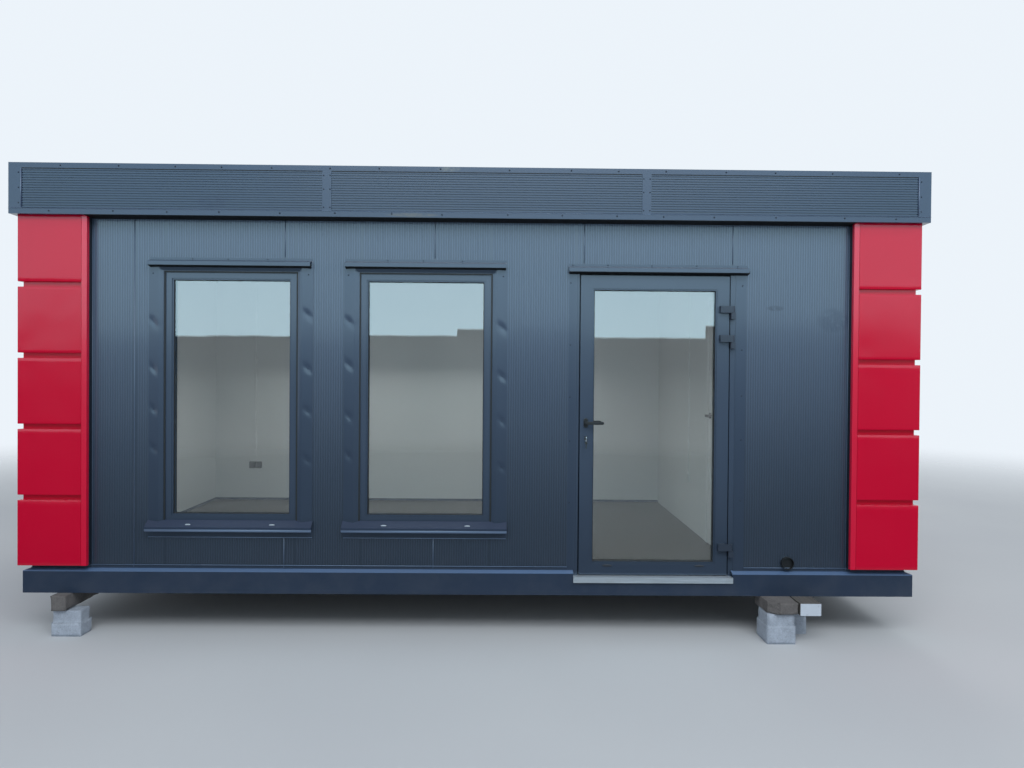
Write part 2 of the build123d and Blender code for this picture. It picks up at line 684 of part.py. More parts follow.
with BuildPart() as window_surrounds:
    foot = Z0 + WIN_Z - SILL_DROP
    inner_top = Z0 + WIN_Z + WIN_H + SUR_SHADOW
    fold_top = inner_top + SUR_REVEAL
    outer_top = fold_top + SUR_HEAD
    for x in WIN_X:
        steps = ((0, SUR_BACK, outer_w, outer_top, outer_w, outer_top, Mode.ADD),
                 (SUR_BACK, SUR_RISE, outer_w, outer_top, fold_w, fold_top, Mode.ADD),
                 (0, SUR_BACK, inner_w, inner_top, inner_w, inner_top, Mode.SUBTRACT),
                 (SUR_BACK, SUR_RISE, inner_w, inner_top, fold_w - 2 * SHEET, fold_top - SHEET, Mode.SUBTRACT))
        for y0, y1, w0, t0, w1, t1, mode in steps:
            with BuildSketch(Plane.XZ.offset(-WALL_Y + y0)):
                with Locations((x, foot)):
                    Rectangle(w0, t0 - foot, align=(Align.CENTER, Align.MIN))
            with BuildSketch(Plane.XZ.offset(-WALL_Y + y1)):
                with Locations((x, foot)):
                    Rectangle(w1, t1 - foot, align=(Align.CENTER, Align.MIN))
            loft(ruled=True, mode=mode)
        with BuildSketch(Plane(origin=(x - outer_w / 2, 0, 0), x_dir=(0, 1, 0), z_dir=(1, 0, 0))):
            with BuildLine():
                Polyline((sill_y, sill_back), (sill_tip, sill_low), (sill_tip, foot - SILL_DROP),
                         (sill_y, foot - SILL_DROP), close=True)
            make_face()
        extrude(amount=outer_w, mode=Mode.SUBTRACT)

with BuildPart() as window_aprons:
    apron_z = Z0 + WIN_Z - APRON_DROP
    for x in WIN_X:
        block(x - outer_w / 2, x + outer_w / 2, WALL_Y - SUR_BACK, WALL_Y, apron_z, Z0 + WIN_Z - APRON_GAP)

with BuildPart() as window_sills:
    for x in WIN_X:
        with BuildSketch(Plane(origin=(x - sill_w / 2, 0, 0), x_dir=(0, 1, 0), z_dir=(1, 0, 0))):
            with BuildLine():
                Polyline((sill_y, sill_back), (sill_tip, sill_low), (sill_tip, sill_low - SILL_LIP),
                         (sill_tip + SHEET, sill_low - SILL_LIP), (sill_tip + SHEET, sill_low - SHEET),
                         (sill_y, sill_back - SHEET), close=True)
            make_face()
        extrude(amount=sill_w)


def drip_cap(left, right, fold):
    """A folded rain cap over an opening, its leg fixed to the wall above the fold."""
    tip = WALL_Y - CAP_OUT
    edge = fold - CAP_FALL
    with BuildSketch(Plane(origin=(left, 0, 0), x_dir=(0, 1, 0), z_dir=(1, 0, 0))) as sheet:
        with BuildLine():
            Polyline((WALL_Y, fold + CAP_LEG), (WALL_Y - SHEET, fold + CAP_LEG), (WALL_Y - SHEET, fold),
                     (tip, edge), (tip, edge - CAP_LIP), (tip + SHEET, edge - CAP_LIP),
                     (tip + SHEET, edge - SHEET), (WALL_Y, fold - SHEET), close=True)
        make_face()
    extrude(sheet.sketch, amount=right - left)


with BuildPart() as drip_caps:
    for x in WIN_X:
        drip_cap(x - outer_w / 2 + CAP_SHORT, x + outer_w / 2 - CAP_SHORT, outer_top + CAP_LIFT)
    drip_cap(SUR_L - CAP_PAST, SUR_R + CAP_PAST, HEAD_TOP + DOOR_CAP_LIFT)

# entrance door: fixed parts
with BuildPart() as door_frame:
    with BuildSketch(Plane.XZ.offset(-WALL_Y)):
        with Locations(((JAMB_L + JAMB_R) / 2, (THRESH_Z + HEAD_TOP) / 2)):
            Rectangle(JAMB_R - JAMB_L, HEAD_TOP - THRESH_Z)
        with Locations((DOOR_X, (THRESH_Z + HEAD_Z) / 2)):
            Rectangle(OPEN_R - OPEN_L, HEAD_Z - THRESH_Z, mode=Mode.SUBTRACT)
    extrude(amount=-JAMB_D)
    with BuildSketch(Plane.XZ.offset(-WALL_Y - JAMB_D)):
        with Locations((DOOR_X, (THRESH_Z + HEAD_Z) / 2)):
            Rectangle(OPEN_R - OPEN_L, HEAD_Z - THRESH_Z)
        with Locations((DOOR_X, (THRESH_Z + HEAD_Z - STOP_W) / 2)):
            Rectangle(OPEN_R - OPEN_L - 2 * STOP_W, HEAD_Z - STOP_W - THRESH_Z, mode=Mode.SUBTRACT)
    extrude(amount=STOP_D)

with BuildPart() as door_surround:
    foot = RAIL_TOP_Z + TRIM_TOP
    block(SUR_L, SUR_R, WALL_Y - SHEET, WALL_Y, foot, HEAD_TOP)
    block(JAMB_L, JAMB_R, WALL_Y - SHEET, WALL_Y, foot, HEAD_TOP, Mode.SUBTRACT)
    block(THRESH_L, JAMB_L, WALL_Y - SHEET, WALL_Y, THRESH_Z, foot)

with BuildPart() as door_threshold:
    with BuildSketch(Plane(origin=(THRESH_L, 0, 0), x_dir=(0, 1, 0), z_dir=(1, 0, 0))):
        with BuildLine():
            Polyline((FRONT - THRESH_OUT, THRESH_Z), (WALL_Y + JAMB_D, THRESH_Z), (WALL_Y + JAMB_D, FLOOR),
                     (FRONT + RAIL_T, FLOOR), (FRONT + RAIL_T, Z0 + NOTCH_H), (FRONT, Z0 + NOTCH_H),
                     (FRONT, FLOOR), (FRONT - THRESH_OUT + LIP, FLOOR), (FRONT - THRESH_OUT + LIP, Z0 + NOTCH_H),
                     (FRONT - THRESH_OUT, Z0 + NOTCH_H), close=True)
        make_face()
    extrude(amount=THRESH_R - THRESH_L)

with BuildPart() as door_hinge_bases:
    for h in HINGE_Z:
        z = Z0 + h
        with BuildSketch(Plane.XY.offset(z - HINGE_BASE_H)):
            with Locations((PIVOT_X, PIVOT_Y)):
                Circle(BARREL_R)
            with Locations((PIVOT_X, PIVOT_Y - BARREL_R)):
                Rectangle(HINGE_FRAME_W, BARREL_R + WALL_Y - PIVOT_Y, align=(Align.MIN, Align.MIN))
        extrude(amount=HINGE_BASE_H - HINGE_SPLIT)
        with Locations((PIVOT_X, PIVOT_Y, z - HINGE_SPLIT)):
            Cylinder(PIN_R, PIN_UP, align=LOW)

# entrance door: moving parts
leaf_mid = (LEAF_Z + LEAF_TOP) / 2

with BuildPart() as door_leaf:
    glazed_frame(DOOR_X, leaf_mid, DOOR_W, LEAF_TOP - LEAF_Z, LEAF_Y, DOOR_T, STILE, RAIL_BOTTOM, RAIL_TOP)
    with BuildSketch(Plane.XZ.offset(-LEAF_Y)):
        with Locations((SPIN_X, SPIN_Z)):
            Circle(BORE_R)
        with Locations((SPIN_X, LOCK_Z)):
            SlotOverall(LOCK_H + 2 * LOCK_GAP, LOCK_W + 2 * LOCK_GAP, rotation=90)
    extrude(amount=-DOOR_T, mode=Mode.SUBTRACT)

with BuildPart() as door_pane:
    with BuildSketch(Plane.XZ.offset(-LEAF_Y - PANE_SET)):
        with Locations((DOOR_X, GLASS_Z + GLASS_H / 2)):
            Rectangle(GLASS_W + 2 * PANE_BITE, GLASS_H + 2 * PANE_BITE)
    extrude(amount=-PANE_T)

with BuildPart() as door_hinge_wings:
    for h in HINGE_Z:
        z = Z0 + h
        with BuildSketch(Plane.XY.offset(z)):
            with Locations((PIVOT_X, PIVOT_Y)):
                Circle(BARREL_R)
            with Locations((PIVOT_X, PIVOT_Y - BARREL_R)):
                Rectangle(HINGE_LEAF_W, HINGE_PLATE, align=(Align.MAX, Align.MIN))
            with Locations((PIVOT_X - HINGE_LEAF_W, PIVOT_Y - BARREL_R)):
                Rectangle(HINGE_PAD_W, BARREL_R + BARREL_OUT, align=(Align.MIN, Align.MIN))
        extrude(amount=HINGE_H)
        with Locations((PIVOT_X, PIVOT_Y, z)):
            Cylinder(PIN_R + PIN_GAP, PIN_UP + PIN_GAP, align=LOW, mode=Mode.SUBTRACT)

with BuildPart() as door_roses:
    for y in (LEAF_Y, LEAF_BACK + ROSE_T):
        with BuildSketch(Plane.XZ.offset(-y)):
            with Locations((SPIN_X, SPIN_Z)):
                SlotOverall(ROSE_H, ROSE_W, rotation=90)
                Circle(NECK_R + ROSE_GAP, mode=Mode.SUBTRACT)
        extrude(amount=ROSE_T)
    for end in (0, -1):
        fillet(door_roses.faces().sort_by(Axis.Y)[end].outer_wire().edges(), radius=EASE)

with BuildPart() as door_lock:
    with BuildSketch(Plane.XZ.offset(-LEAF_Y + LOCK_OUT)):
        with Locations((SPIN_X, LOCK_Z)):
            SlotOverall(LOCK_H, LOCK_W, rotation=90)
    extrude(amount=-DOOR_T - 2 * LOCK_OUT)

with BuildPart() as door_handle:
    for side in (-1, 1):
        face = LEAF_Y if side < 0 else LEAF_BACK
        with BuildSketch(Plane.XZ.offset(-face - side * SHEET)):
            with Locations((SPIN_X, SPIN_Z)):
                Circle(NECK_R)
        extrude(amount=-side * NECK_L)
        with BuildSketch(Plane.XZ.offset(-face - side * (NECK_L + SHEET))):
            with Locations((SPIN_X - LEVER_H / 2 + LEVER_L / 2, SPIN_Z)):
                SlotOverall(LEVER_L, LEVER_H)
        extrude(amount=side * LEVER_T)
    with Locations((SPIN_X, LEAF_Y + DOOR_T / 2, SPIN_Z)):
        Box(SPINDLE, DOOR_T + 4 * SHEET, SPINDLE)
    for end in (0, -1):
        fillet(door_handle.faces().sort_by(Axis.Y)[end].edges(), radius=EASE)

# partition with its inner door
with BuildPart() as partition_walls:
    block(PART_X, PART_X + PART_T, WALL_IN, IN_JAMB_A, FLOOR, CEILING_Z)
    block(PART_X, PART_X + PART_T, IN_JAMB_B, -WALL_IN, FLOOR, CEILING_Z)

with BuildPart() as partition_head:
    block(PART_X, PART_X + PART_T, IN_JAMB_A, IN_JAMB_B, IN_HEAD_TOP, CEILING_Z)

with BuildPart() as inner_door_frame:
    frame_d = PART_T + 2 * IN_PROUD
    block(IN_FACE, IN_FACE + frame_d, IN_JAMB_A, IN_JAMB_B, FLOOR, IN_HEAD_TOP)
    block(IN_FACE, IN_FACE + frame_d, IN_Y - IN_GAP, IN_END + IN_GAP, FLOOR, IN_OPEN_TOP, Mode.SUBTRACT)
    stop_x = IN_LEAF_X + IN_T + IN_GAP
    block(stop_x, IN_FACE + frame_d, IN_Y - IN_GAP, IN_Y + IN_STOP, FLOOR, IN_OPEN_TOP)
    block(stop_x, IN_FACE + frame_d, IN_END - IN_STOP, IN_END + IN_GAP, FLOOR, IN_OPEN_TOP)
    block(stop_x, IN_FACE + frame_d, IN_Y, IN_END, IN_LEAF_TOP - IN_STOP, IN_OPEN_TOP)

with BuildPart() as inner_hinge_bases:
    for h in IN_HINGE_Z:
        z = Z0 + h
        with Locations((IN_PIVOT_X, IN_PIVOT_Y, z)):
            Cylinder(IN_BARREL_R, IN_BARREL_H / 2 - HINGE_SPLIT, align=(Align.CENTER, Align.CENTER, Align.MAX))
            Cylinder(PIN_R - 1, PIN_UP, align=LOW)
            Cylinder(PIN_R - 1, 3 * HINGE_SPLIT, align=(Align.CENTER, Align.CENTER, Align.MAX))
        block(IN_PIVOT_X - IN_BARREL_R / 2, IN_FACE, IN_JAMB_A, IN_PIVOT_Y, z - IN_BARREL_H / 2, z - HINGE_SPLIT)

with BuildPart() as inner_door_leaf:
    block(IN_LEAF_X, IN_LEAF_X + IN_T, IN_Y, IN_END, IN_LEAF_Z, IN_LEAF_TOP)
    with BuildSketch(Plane.YZ.offset(IN_LEAF_X)):
        with Locations((IN_SPIN_Y, IN_SPIN_Z)):
            Circle(BORE_R)
    extrude(amount=IN_T, mode=Mode.SUBTRACT)
    for h in IN_HINGE_Z:
        z = Z0 + h
        with Locations((IN_PIVOT_X, IN_PIVOT_Y, z)):
            Cylinder(IN_BARREL_R, IN_BARREL_H / 2, align=LOW)
            Cylinder(PIN_R - 1 + PIN_GAP, PIN_UP + PIN_GAP, align=LOW, mode=Mode.SUBTRACT)
        block(IN_PIVOT_X + PIN_R, IN_LEAF_X, IN_PIVOT_Y, IN_Y + IN_BARREL_R, z, z + IN_BARREL_H / 2)

with BuildPart() as inner_door_roses:
    for x in (IN_LEAF_X - ROSE_T, IN_LEAF_X + IN_T):
        with BuildSketch(Plane.YZ.offset(x)):
            with Locations((IN_SPIN_Y, IN_SPIN_Z)):
                Circle(ROSE_H / 2 - HINGE_PLATE)
                Circle(NECK_R + ROSE_GAP, mode=Mode.SUBTRACT)
        extrude(amount=ROSE_T)

with BuildPart() as inner_door_handle:
    for side in (-1, 1):
        face = IN_LEAF_X if side < 0 else IN_LEAF_X + IN_T
        with BuildSketch(Plane.YZ.offset(face + side * SHEET)):
            with Locations((IN_SPIN_Y, IN_SPIN_Z)):
                Circle(NECK_R)
        extrude(amount=side * NECK_L)
        with BuildSketch(Plane.YZ.offset(face + side * (NECK_L + SHEET))):
            with Locations((IN_SPIN_Y + LEVER_H / 2 - IN_LEVER_L / 2, IN_SPIN_Z)):
                SlotOverall(IN_LEVER_L, LEVER_H)
        extrude(amount=-side * LEVER_T)
    with Locations((IN_LEAF_X + IN_T / 2, IN_SPIN_Y, IN_SPIN_Z)):
        Box(IN_T + 4 * SHEET, SPINDLE, SPINDLE)

# services
with BuildPart() as waste_stub:
    with BuildSketch(Plane.XZ.offset(-WALL_Y + STUB_OUT)):
        with Locations((STUB_X, Z0 + STUB_Z)):
            Circle(STUB_R)
            Circle(STUB_R - STUB_WALL, mode=Mode.SUBTRACT)
    extrude(amount=-STUB_OUT - WALL_T - STUB_IN)
    with BuildSketch(Plane.XZ.offset(-WALL_Y + STUB_OUT - STUB_PLUG)):
        with Locations((STUB_X, Z0 + STUB_Z)):
            Circle(STUB_R)
    extrude(amount=-STUB_WALL)

with BuildPart() as power_sockets:
    low = Z0 + SOCKET_Z
    for side in (-1, 1):
        x = SOCKET_X + side * (SOCKET_W + SOCKET_SPACE) / 2
        block(x - SOCKET_W / 2, x + SOCKET_W / 2, -WALL_IN - SOCKET_T, -WALL_IN, low, low + SOCKET_H)
    low = Z0 + PART_SOCKET_Z
    block(PART_X - SOCKET_T, PART_X, SOCKET_Y - SOCKET_W / 2, SOCKET_Y + SOCKET_W / 2, low, low + SOCKET_H)

with BuildPart() as cable_ducts:
    block(SOCKET_X - DUCT_W / 2, SOCKET_X + DUCT_W / 2, -WALL_IN - DUCT_T, -WALL_IN,
          Z0 + SOCKET_Z + SOCKET_H, CEILING_Z)
    block(PART_X - DUCT_T, PART_X, SOCKET_Y - DUCT_W / 2, SOCKET_Y + DUCT_W / 2,
          Z0 + PART_SOCKET_Z + SOCKET_H, CEILING_Z)

# write every piece
pieces = {
    "support_blocks": support_blocks,
    "support_packers": support_packers,
    "support_bearers": support_bearers,
    "base_frame": base_frame,
    "floor_joists": floor_joists,
    "floor_deck": floor_deck,
    "base_ledge": base_ledge,
    "wall_foot_trim": wall_foot_trim,
    "corner_posts": corner_posts,
    "front_wall_left": front_wall_left,
    "front_wall_over_door": front_wall_over_door,
    "front_wall_right": front_wall_right,
    "back_wall": back_wall,
    "end_walls": end_walls,
    "roof_frame": roof_frame,
    "ceiling": ceiling,
    "roof_deck": roof_deck,
    "roof_membrane": roof_membrane,
    "front_fascia": front_fascia,
    "back_fascia": back_fascia,
    "end_fascias": end_fascias,
    "fascia_cap": fascia_cap,
    "fascia_drip": fascia_drip,
    "fascia_corner_caps": fascia_corner_caps,
    "fascia_straps": fascia_straps,
    "cassettes_front_left": cassettes_front_left,
    "cassettes_front_right": cassettes_front_right,
    "cassettes_back_left": cassettes_back_left,
    "cassettes_back_right": cassettes_back_right,
    "cassette_backings": cassette_backings,
    "column_liners": column_liners,
    "cassette_trims": cassette_trims,
    "window_frames": window_frames,
    "window_panes": window_panes,
    "window_surrounds": window_surrounds,
    "window_aprons": window_aprons,
    "window_sills": window_sills,
    "drip_caps": drip_caps,
    "door_frame": door_frame,
    "door_surround": door_surround,
    "door_threshold": door_threshold,
    "door_hinge_bases": door_hinge_bases,
    "door_leaf": door_leaf,
    "door_pane": door_pane,
    "door_hinge_wings": door_hinge_wings,
    "door_roses": door_roses,
    "door_lock": door_lock,
    "door_handle": door_handle,
    "partition_walls": partition_walls,
    "partition_head": partition_head,
    "inner_door_frame": inner_door_frame,
    "inner_hinge_bases": inner_hinge_bases,
    "inner_door_leaf": inner_door_leaf,
    "inner_door_roses": inner_door_roses,
    "inner_door_handle": inner_door_handle,
    "waste_stub": waste_stub,
    "power_sockets": power_sockets,
    "cable_ducts": cable_ducts,
}
os.makedirs("parts", exist_ok=True)
for name, piece in pieces.items():
    piece.part.label = name
    export_step(piece.part, f"parts/{name}.step")
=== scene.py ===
"""Looks of the portable site cabin: paint, glass, sheet ribs, screws, seals, blocks and room.

Metres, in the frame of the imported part: front towards -Y, +Z up, ground at z = 0.
"""
import bpy
import bmesh
import math
import random
from mathutils import Matrix, Vector, noise


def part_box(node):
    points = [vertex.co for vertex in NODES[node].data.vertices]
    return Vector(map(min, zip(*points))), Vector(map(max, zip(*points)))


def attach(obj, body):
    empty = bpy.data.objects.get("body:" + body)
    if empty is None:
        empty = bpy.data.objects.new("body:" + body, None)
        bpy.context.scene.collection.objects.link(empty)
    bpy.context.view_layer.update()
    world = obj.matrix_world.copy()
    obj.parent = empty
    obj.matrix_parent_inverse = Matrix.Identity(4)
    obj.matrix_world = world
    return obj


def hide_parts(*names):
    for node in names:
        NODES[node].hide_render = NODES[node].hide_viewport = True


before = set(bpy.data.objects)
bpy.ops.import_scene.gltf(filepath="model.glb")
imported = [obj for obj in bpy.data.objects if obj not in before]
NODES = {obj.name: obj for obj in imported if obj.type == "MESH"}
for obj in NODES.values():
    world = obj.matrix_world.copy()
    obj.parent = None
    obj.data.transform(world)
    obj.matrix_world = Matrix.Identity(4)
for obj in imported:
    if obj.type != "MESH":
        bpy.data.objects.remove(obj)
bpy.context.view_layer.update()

# sizes of the fine detail, in metres
RIB_PITCH = 0.0165
RIB_RISE = 0.0014
RIB_CREST = 0.0095
RIB_SLOPE = 0.0014
RIB_CLEAR = 0.0002
SCREW_R = 0.0055
SMALL_SCREW_R = 0.0045
RIVET_R = 0.0042

# planes and heights between which a material changes
FRONT_FACES = (-1.44, -1.43)
ROOM_SIDE = (1.43, 1.431)
ROOM_END = (2.93, 2.931)
DUSTY_HEIGHTS = (0.28, 0.75)
PAINTED_END = (1.6575, 1.6585)
RIGHT_THIRD = (1.0, 1.01)


def srgb(r, g, b):
    """Screen colour, 0 to 255, as a linear colour."""
    linear = []
    for c in (r, g, b):
        share = c / 255
        linear.append(share / 12.92 if c <= 10 else ((share + 0.055) / 1.055) ** 2.4)
    return tuple(linear) + (1.0,)


# node materials

# where the colour sockets of a Mix node lie
MIX_A, MIX_B, MIX_RESULT = 6, 7, 2


class Nodes:
    """The node tree of a material or of the world."""

    def __init__(self, owner):
        owner.use_nodes = True
        self.tree = owner.node_tree

    def feed(self, node, inputs):
        """Set a node's inputs to plain values, or link them to the outputs of others."""
        for key, value in inputs.items():
            if isinstance(value, (int, float, tuple)):
                node.inputs[key].default_value = value
            else:
                self.tree.links.new(value, node.inputs[key])

    def node(self, kind, inputs=(), **settings):
        """A new node with its inputs and settings."""
        n = self.tree.nodes.new(kind)
        for key, value in settings.items():
            setattr(n, key, value)
        self.feed(n, dict(inputs))
        return n

    def math(self, op, *values):
        return self.node("ShaderNodeMath", dict(enumerate(values)), operation=op).outputs[0]


class Shader(Nodes):
    """A node material round one main shader."""

    def __init__(self, name):
        self.mat = bpy.data.materials.new(name)
        super().__init__(self.mat)
        self.bsdf = next(n for n in self.tree.nodes if n.type == "BSDF_PRINCIPLED")
        self.out = next(n for n in self.tree.nodes if n.type == "OUTPUT_MATERIAL")
        self.place = self.node("ShaderNodeTexCoord").outputs["Object"]

    def noise(self, scale, detail=3.0, stretch=(1, 1, 1), rough=0.5, offset=(0, 0, 0)):
        place = self.place
        if stretch != (1, 1, 1) or any(offset):
            shift = {"Scale": stretch, "Location": offset, "Vector": place}
            place = self.node("ShaderNodeMapping", shift).outputs["Vector"]
        look = {"Scale": scale, "Detail": detail, "Roughness": rough, "Vector": place}
        return self.node("ShaderNodeTexNoise", look).outputs["Fac"]

    def range(self, value, low, high, to_low=0.0, to_high=1.0, smooth=False):
        """Carry a value over from one range to another, held at its ends."""
        ends = {"Value": value, "From Min": low, "From Max": high, "To Min": to_low, "To Max": to_high}
        style = "SMOOTHSTEP" if smooth else "LINEAR"
        return self.node("ShaderNodeMapRange", ends, interpolation_type=style).outputs["Result"]

    def random(self, value):
        """A random number from 0 to 1 for each value."""
        n = self.node("ShaderNodeTexWhiteNoise", {"W": value}, noise_dimensions="1D")
        return n.outputs["Value"]

    def times(self, a, b):
        return self.math("MULTIPLY", a, b)

    def off_middle(self, value):
        """How far the fraction of a value is from one half."""
        return self.math("ABSOLUTE", self.math("SUBTRACT", self.math("FRACT", value), 0.5))

    def mix(self, factor, a, b):
        inputs = {"Factor": factor, MIX_A: a, MIX_B: b}
        return self.node("ShaderNodeMix", inputs, data_type="RGBA").outputs[MIX_RESULT]

    def patches(self, scale, detail, a, b):
        """Two colours in soft patches."""
        return self.mix(self.range(self.noise(scale, detail), 0.3, 0.7), a, b)

    def axis(self, name):
        return self.node("ShaderNodeSeparateXYZ", {0: self.place}).outputs[name]

    def beyond(self, axis, low, high):
        """0 to 1 as the distance from the middle plane across an axis grows from low to high."""
        return self.range(self.math("ABSOLUTE", self.axis(axis)), low, high)

    def smudge(self, middle, half):
        """A soft-edged patch on a front face, broken up by fine noise."""
        across = self.math("DIVIDE", self.math("SUBTRACT", self.axis("X"), middle[0]), half[0])
        upward = self.math("DIVIDE", self.math("SUBTRACT", self.axis("Z"), middle[1]), half[1])
        away = self.math("ADD", self.times(across, across), self.times(upward, upward))
        inside = self.range(away, 0.2, 1.0, 1.0, 0.0, smooth=True)
        patch = self.range(self.noise(24.0, 4.0, rough=0.6), 0.30, 0.52)
        front = self.range(self.axis("Y"), *FRONT_FACES, 1.0, 0.0)
        return self.times(self.times(inside, patch), front)

    def bump(self, height, distance, **normal):
        """Raise the surface by a height, on top of an earlier bump given as Normal."""
        inputs = {"Height": height, "Distance": distance, "Strength": 1.0, **normal}
        out = self.node("ShaderNodeBump", inputs).outputs["Normal"]
        self.set(Normal=out)
        return out

    def set(self, **values):
        """Inputs of the main shader, such as Coat_Weight for its input Coat Weight."""
        self.feed(self.bsdf, {key.replace("_", " "): value for key, value in values.items()})

    def melt(self, amount, shader=None, tint=(1, 1, 1, 1)):
        """Let the main shader, or another one, give way to a clear one by an amount."""
        clear = self.node("ShaderNodeBsdfTransparent", {"Color": tint})
        parts = {0: amount, 1: shader or self.bsdf.outputs[0], 2: clear.outputs[0]}
        self.feed(self.out, {"Surface": self.node("ShaderNodeMixShader", parts).outputs[0]})


DUST = srgb(120, 122, 124)


def shade(color, factor):
    """A colour made darker or lighter."""
    return tuple(min(1.0, c * factor) for c in color[:3]) + (1.0,)


def painted(name, color, rough, peel=0.000006, dent=0.0, dust=0.0, streak=0.5, height_shading=0.0,
            rise=(0.5, 2.3), coat=0.0, metal=0.0, shine=0.5, inside=None, valley_shade=None, stains=()):
    """Coil-coated or sprayed sheet: faint mottling, rain streaks, dust near the ground, orange peel.

    height_shading paints light and shade by height: darker low down, lighter high up, between the
    two heights of rise. inside colours the faces towards the room. valley_shade paints shade into
    the valleys between its planes. stains are smudges, each with its middle, its half width and
    height, and its colour. shine under one half dulls its sheen."""
    s = Shader(name)
    broad = s.range(s.noise(0.9, 2.0), 0.3, 0.7)
    base = s.mix(broad, shade(color, 0.96), shade(color, 1.04))
    # painted light and shade: the colour is darker low down and lighter high up
    if height_shading:
        low = s.mix(broad, shade(color, 0.96 - height_shading), shade(color, 1.02 - height_shading))
        high = s.mix(broad, shade(color, 0.97 + height_shading), shade(color, 1.05 + height_shading))
        base = s.mix(s.range(s.axis("Z"), *rise, smooth=True), low, high)
    runs = s.range(s.noise(1.0, 4.0, stretch=(22, 22, 0.7)), 0.45, 0.8)
    base = s.mix(s.times(runs, 0.22 * streak), base, shade(color, 0.7))
    if dust:
        low = s.range(s.axis("Z"), *DUSTY_HEIGHTS, 1.0, 0.0, smooth=True)
        patch = s.range(s.noise(7.0, 5.0, rough=0.6), 0.4, 0.8)
        base = s.mix(s.times(s.times(low, patch), dust), base, DUST)
    # painted shade: the valleys between the rib crests are darker
    if valley_shade:
        crest = s.math("MAXIMUM", s.beyond("Y", *valley_shade[0]), s.beyond("X", *valley_shade[1]))
        base = s.mix(crest, s.mix(0.36, base, shade(color, 0.2)), base)
    for middle, half, tint in stains:
        base = s.mix(s.smudge(middle, half), base, tint)
    if inside:
        outer = s.math("MAXIMUM", s.beyond("Y", *ROOM_SIDE), s.beyond("X", *ROOM_END))
        base = s.mix(outer, inside, base)
    s.set(Base_Color=base)
    s.set(Roughness=s.range(s.noise(3.0, 1.0), 0.3, 0.7, rough - 0.008, rough + 0.012))
    s.set(Metallic=metal, Coat_Weight=coat, Coat_Roughness=0.12, Specular_IOR_Level=shine)
    grain = s.noise(240.0, 1.0)
    if dent:
        s.bump(grain, peel, Normal=s.bump(s.noise(2.6, 1.0), dent))
    else:
        s.bump(grain, peel)
    return s.mat


LINING = srgb(196, 200, 199)
# planes where the rib crests begin; the valleys inside them get painted shade
WALL_SHADED_VALLEYS = ((1.4603, 1.4613), (2.9603, 2.9613))
FASCIA_SHADED_VALLEYS = ((1.5525, 1.5548), (3.0525, 3.0548))
WALL_STAINS = (((2.06, 2.228), (0.07, 0.022), srgb(48, 62, 84)),
               ((2.46, 2.15), (0.13, 0.10), srgb(54, 70, 94)))
FASCIA_STAINS = (((-1.72, 2.885), (0.13, 0.055), srgb(16, 36, 70)),)
CAP_STAINS = (((-0.40, 2.815), (0.20, 0.016), srgb(72, 72, 76)),
              ((-0.16, 3.12), (0.09, 0.02), srgb(84, 88, 92)))

# the wall, trim and frame paints are darker low down and lighter high up, as painted light and shade
wall_paint = painted("wall_paint", srgb(63, 79, 100), rough=0.32, dent=0.0008, dust=0.05, height_shading=0.36,
                     coat=0.6, inside=LINING, valley_shade=WALL_SHADED_VALLEYS, stains=WALL_STAINS)
fascia_paint = painted("fascia_paint", srgb(29, 49, 79), rough=0.34, streak=0.6, coat=0.4,
                       valley_shade=FASCIA_SHADED_VALLEYS, stains=FASCIA_STAINS)
cap_paint = painted("cap_paint", srgb(33, 49, 79), rough=0.32, streak=0.8, coat=0.4,
                    stains=CAP_STAINS)
trim_paint = painted("trim_paint", srgb(51, 66, 87), rough=0.30, dent=0.0006, dust=0.05, height_shading=0.16,
                     coat=0.4)
# a darker copy of the wall's anthracite: painted shade on the liners in the recesses beside the columns
shaded_liner_paint = painted("shaded_liner_paint", srgb(27, 34, 46), rough=0.40, dust=0.05)
# a darker copy of the trim paint: painted shade on the sloping sills
shaded_sill_paint = painted("shaded_sill_paint", srgb(34, 49, 74), rough=0.42, dust=0.05)
steel_paint = painted("steel_paint", srgb(32, 48, 72), rough=0.38, peel=0.00001, dust=0.10)
ledge_paint = painted("ledge_paint", srgb(88, 114, 150), rough=0.34, dust=0.06)
# a paler copy of the trim paint: painted highlight along hems and folds
edge_highlight_paint = painted("edge_highlight_paint", srgb(98, 119, 147), rough=0.28)
# a paler copy of the wall paint: painted highlight on the folded panel edges
joint_highlight_paint = painted("joint_highlight_paint", srgb(86, 104, 128), rough=0.32)
# a paler copy of the cap paint: painted highlight on the corner caps' folds
fold_highlight_paint = painted("fold_highlight_paint", srgb(100, 118, 144), rough=0.34)
red_paint = painted("red_paint", srgb(203, 0, 48), rough=0.19, dent=0.0040, streak=0.2, shine=0.38)
red_trim_paint = painted("red_trim_paint", srgb(216, 6, 56), rough=0.24, dent=0.001, streak=0.2,
                         coat=0.3)
frame_paint = painted("frame_paint", srgb(55, 69, 88), rough=0.26, streak=0.1, height_shading=0.16,
                      rise=(0.3, 1.5), coat=0.3)
hinge_paint = painted("hinge_paint", srgb(44, 54, 70), rough=0.36, streak=0.1)
screw_paint = painted("screw_paint", srgb(36, 46, 62), rough=0.30, streak=0.0, metal=0.3)
lining_paint = painted("white_lining", LINING, rough=0.5, streak=0.1)
inner_paint = painted("inner_paint", srgb(206, 209, 208), rough=0.42, streak=0.0)


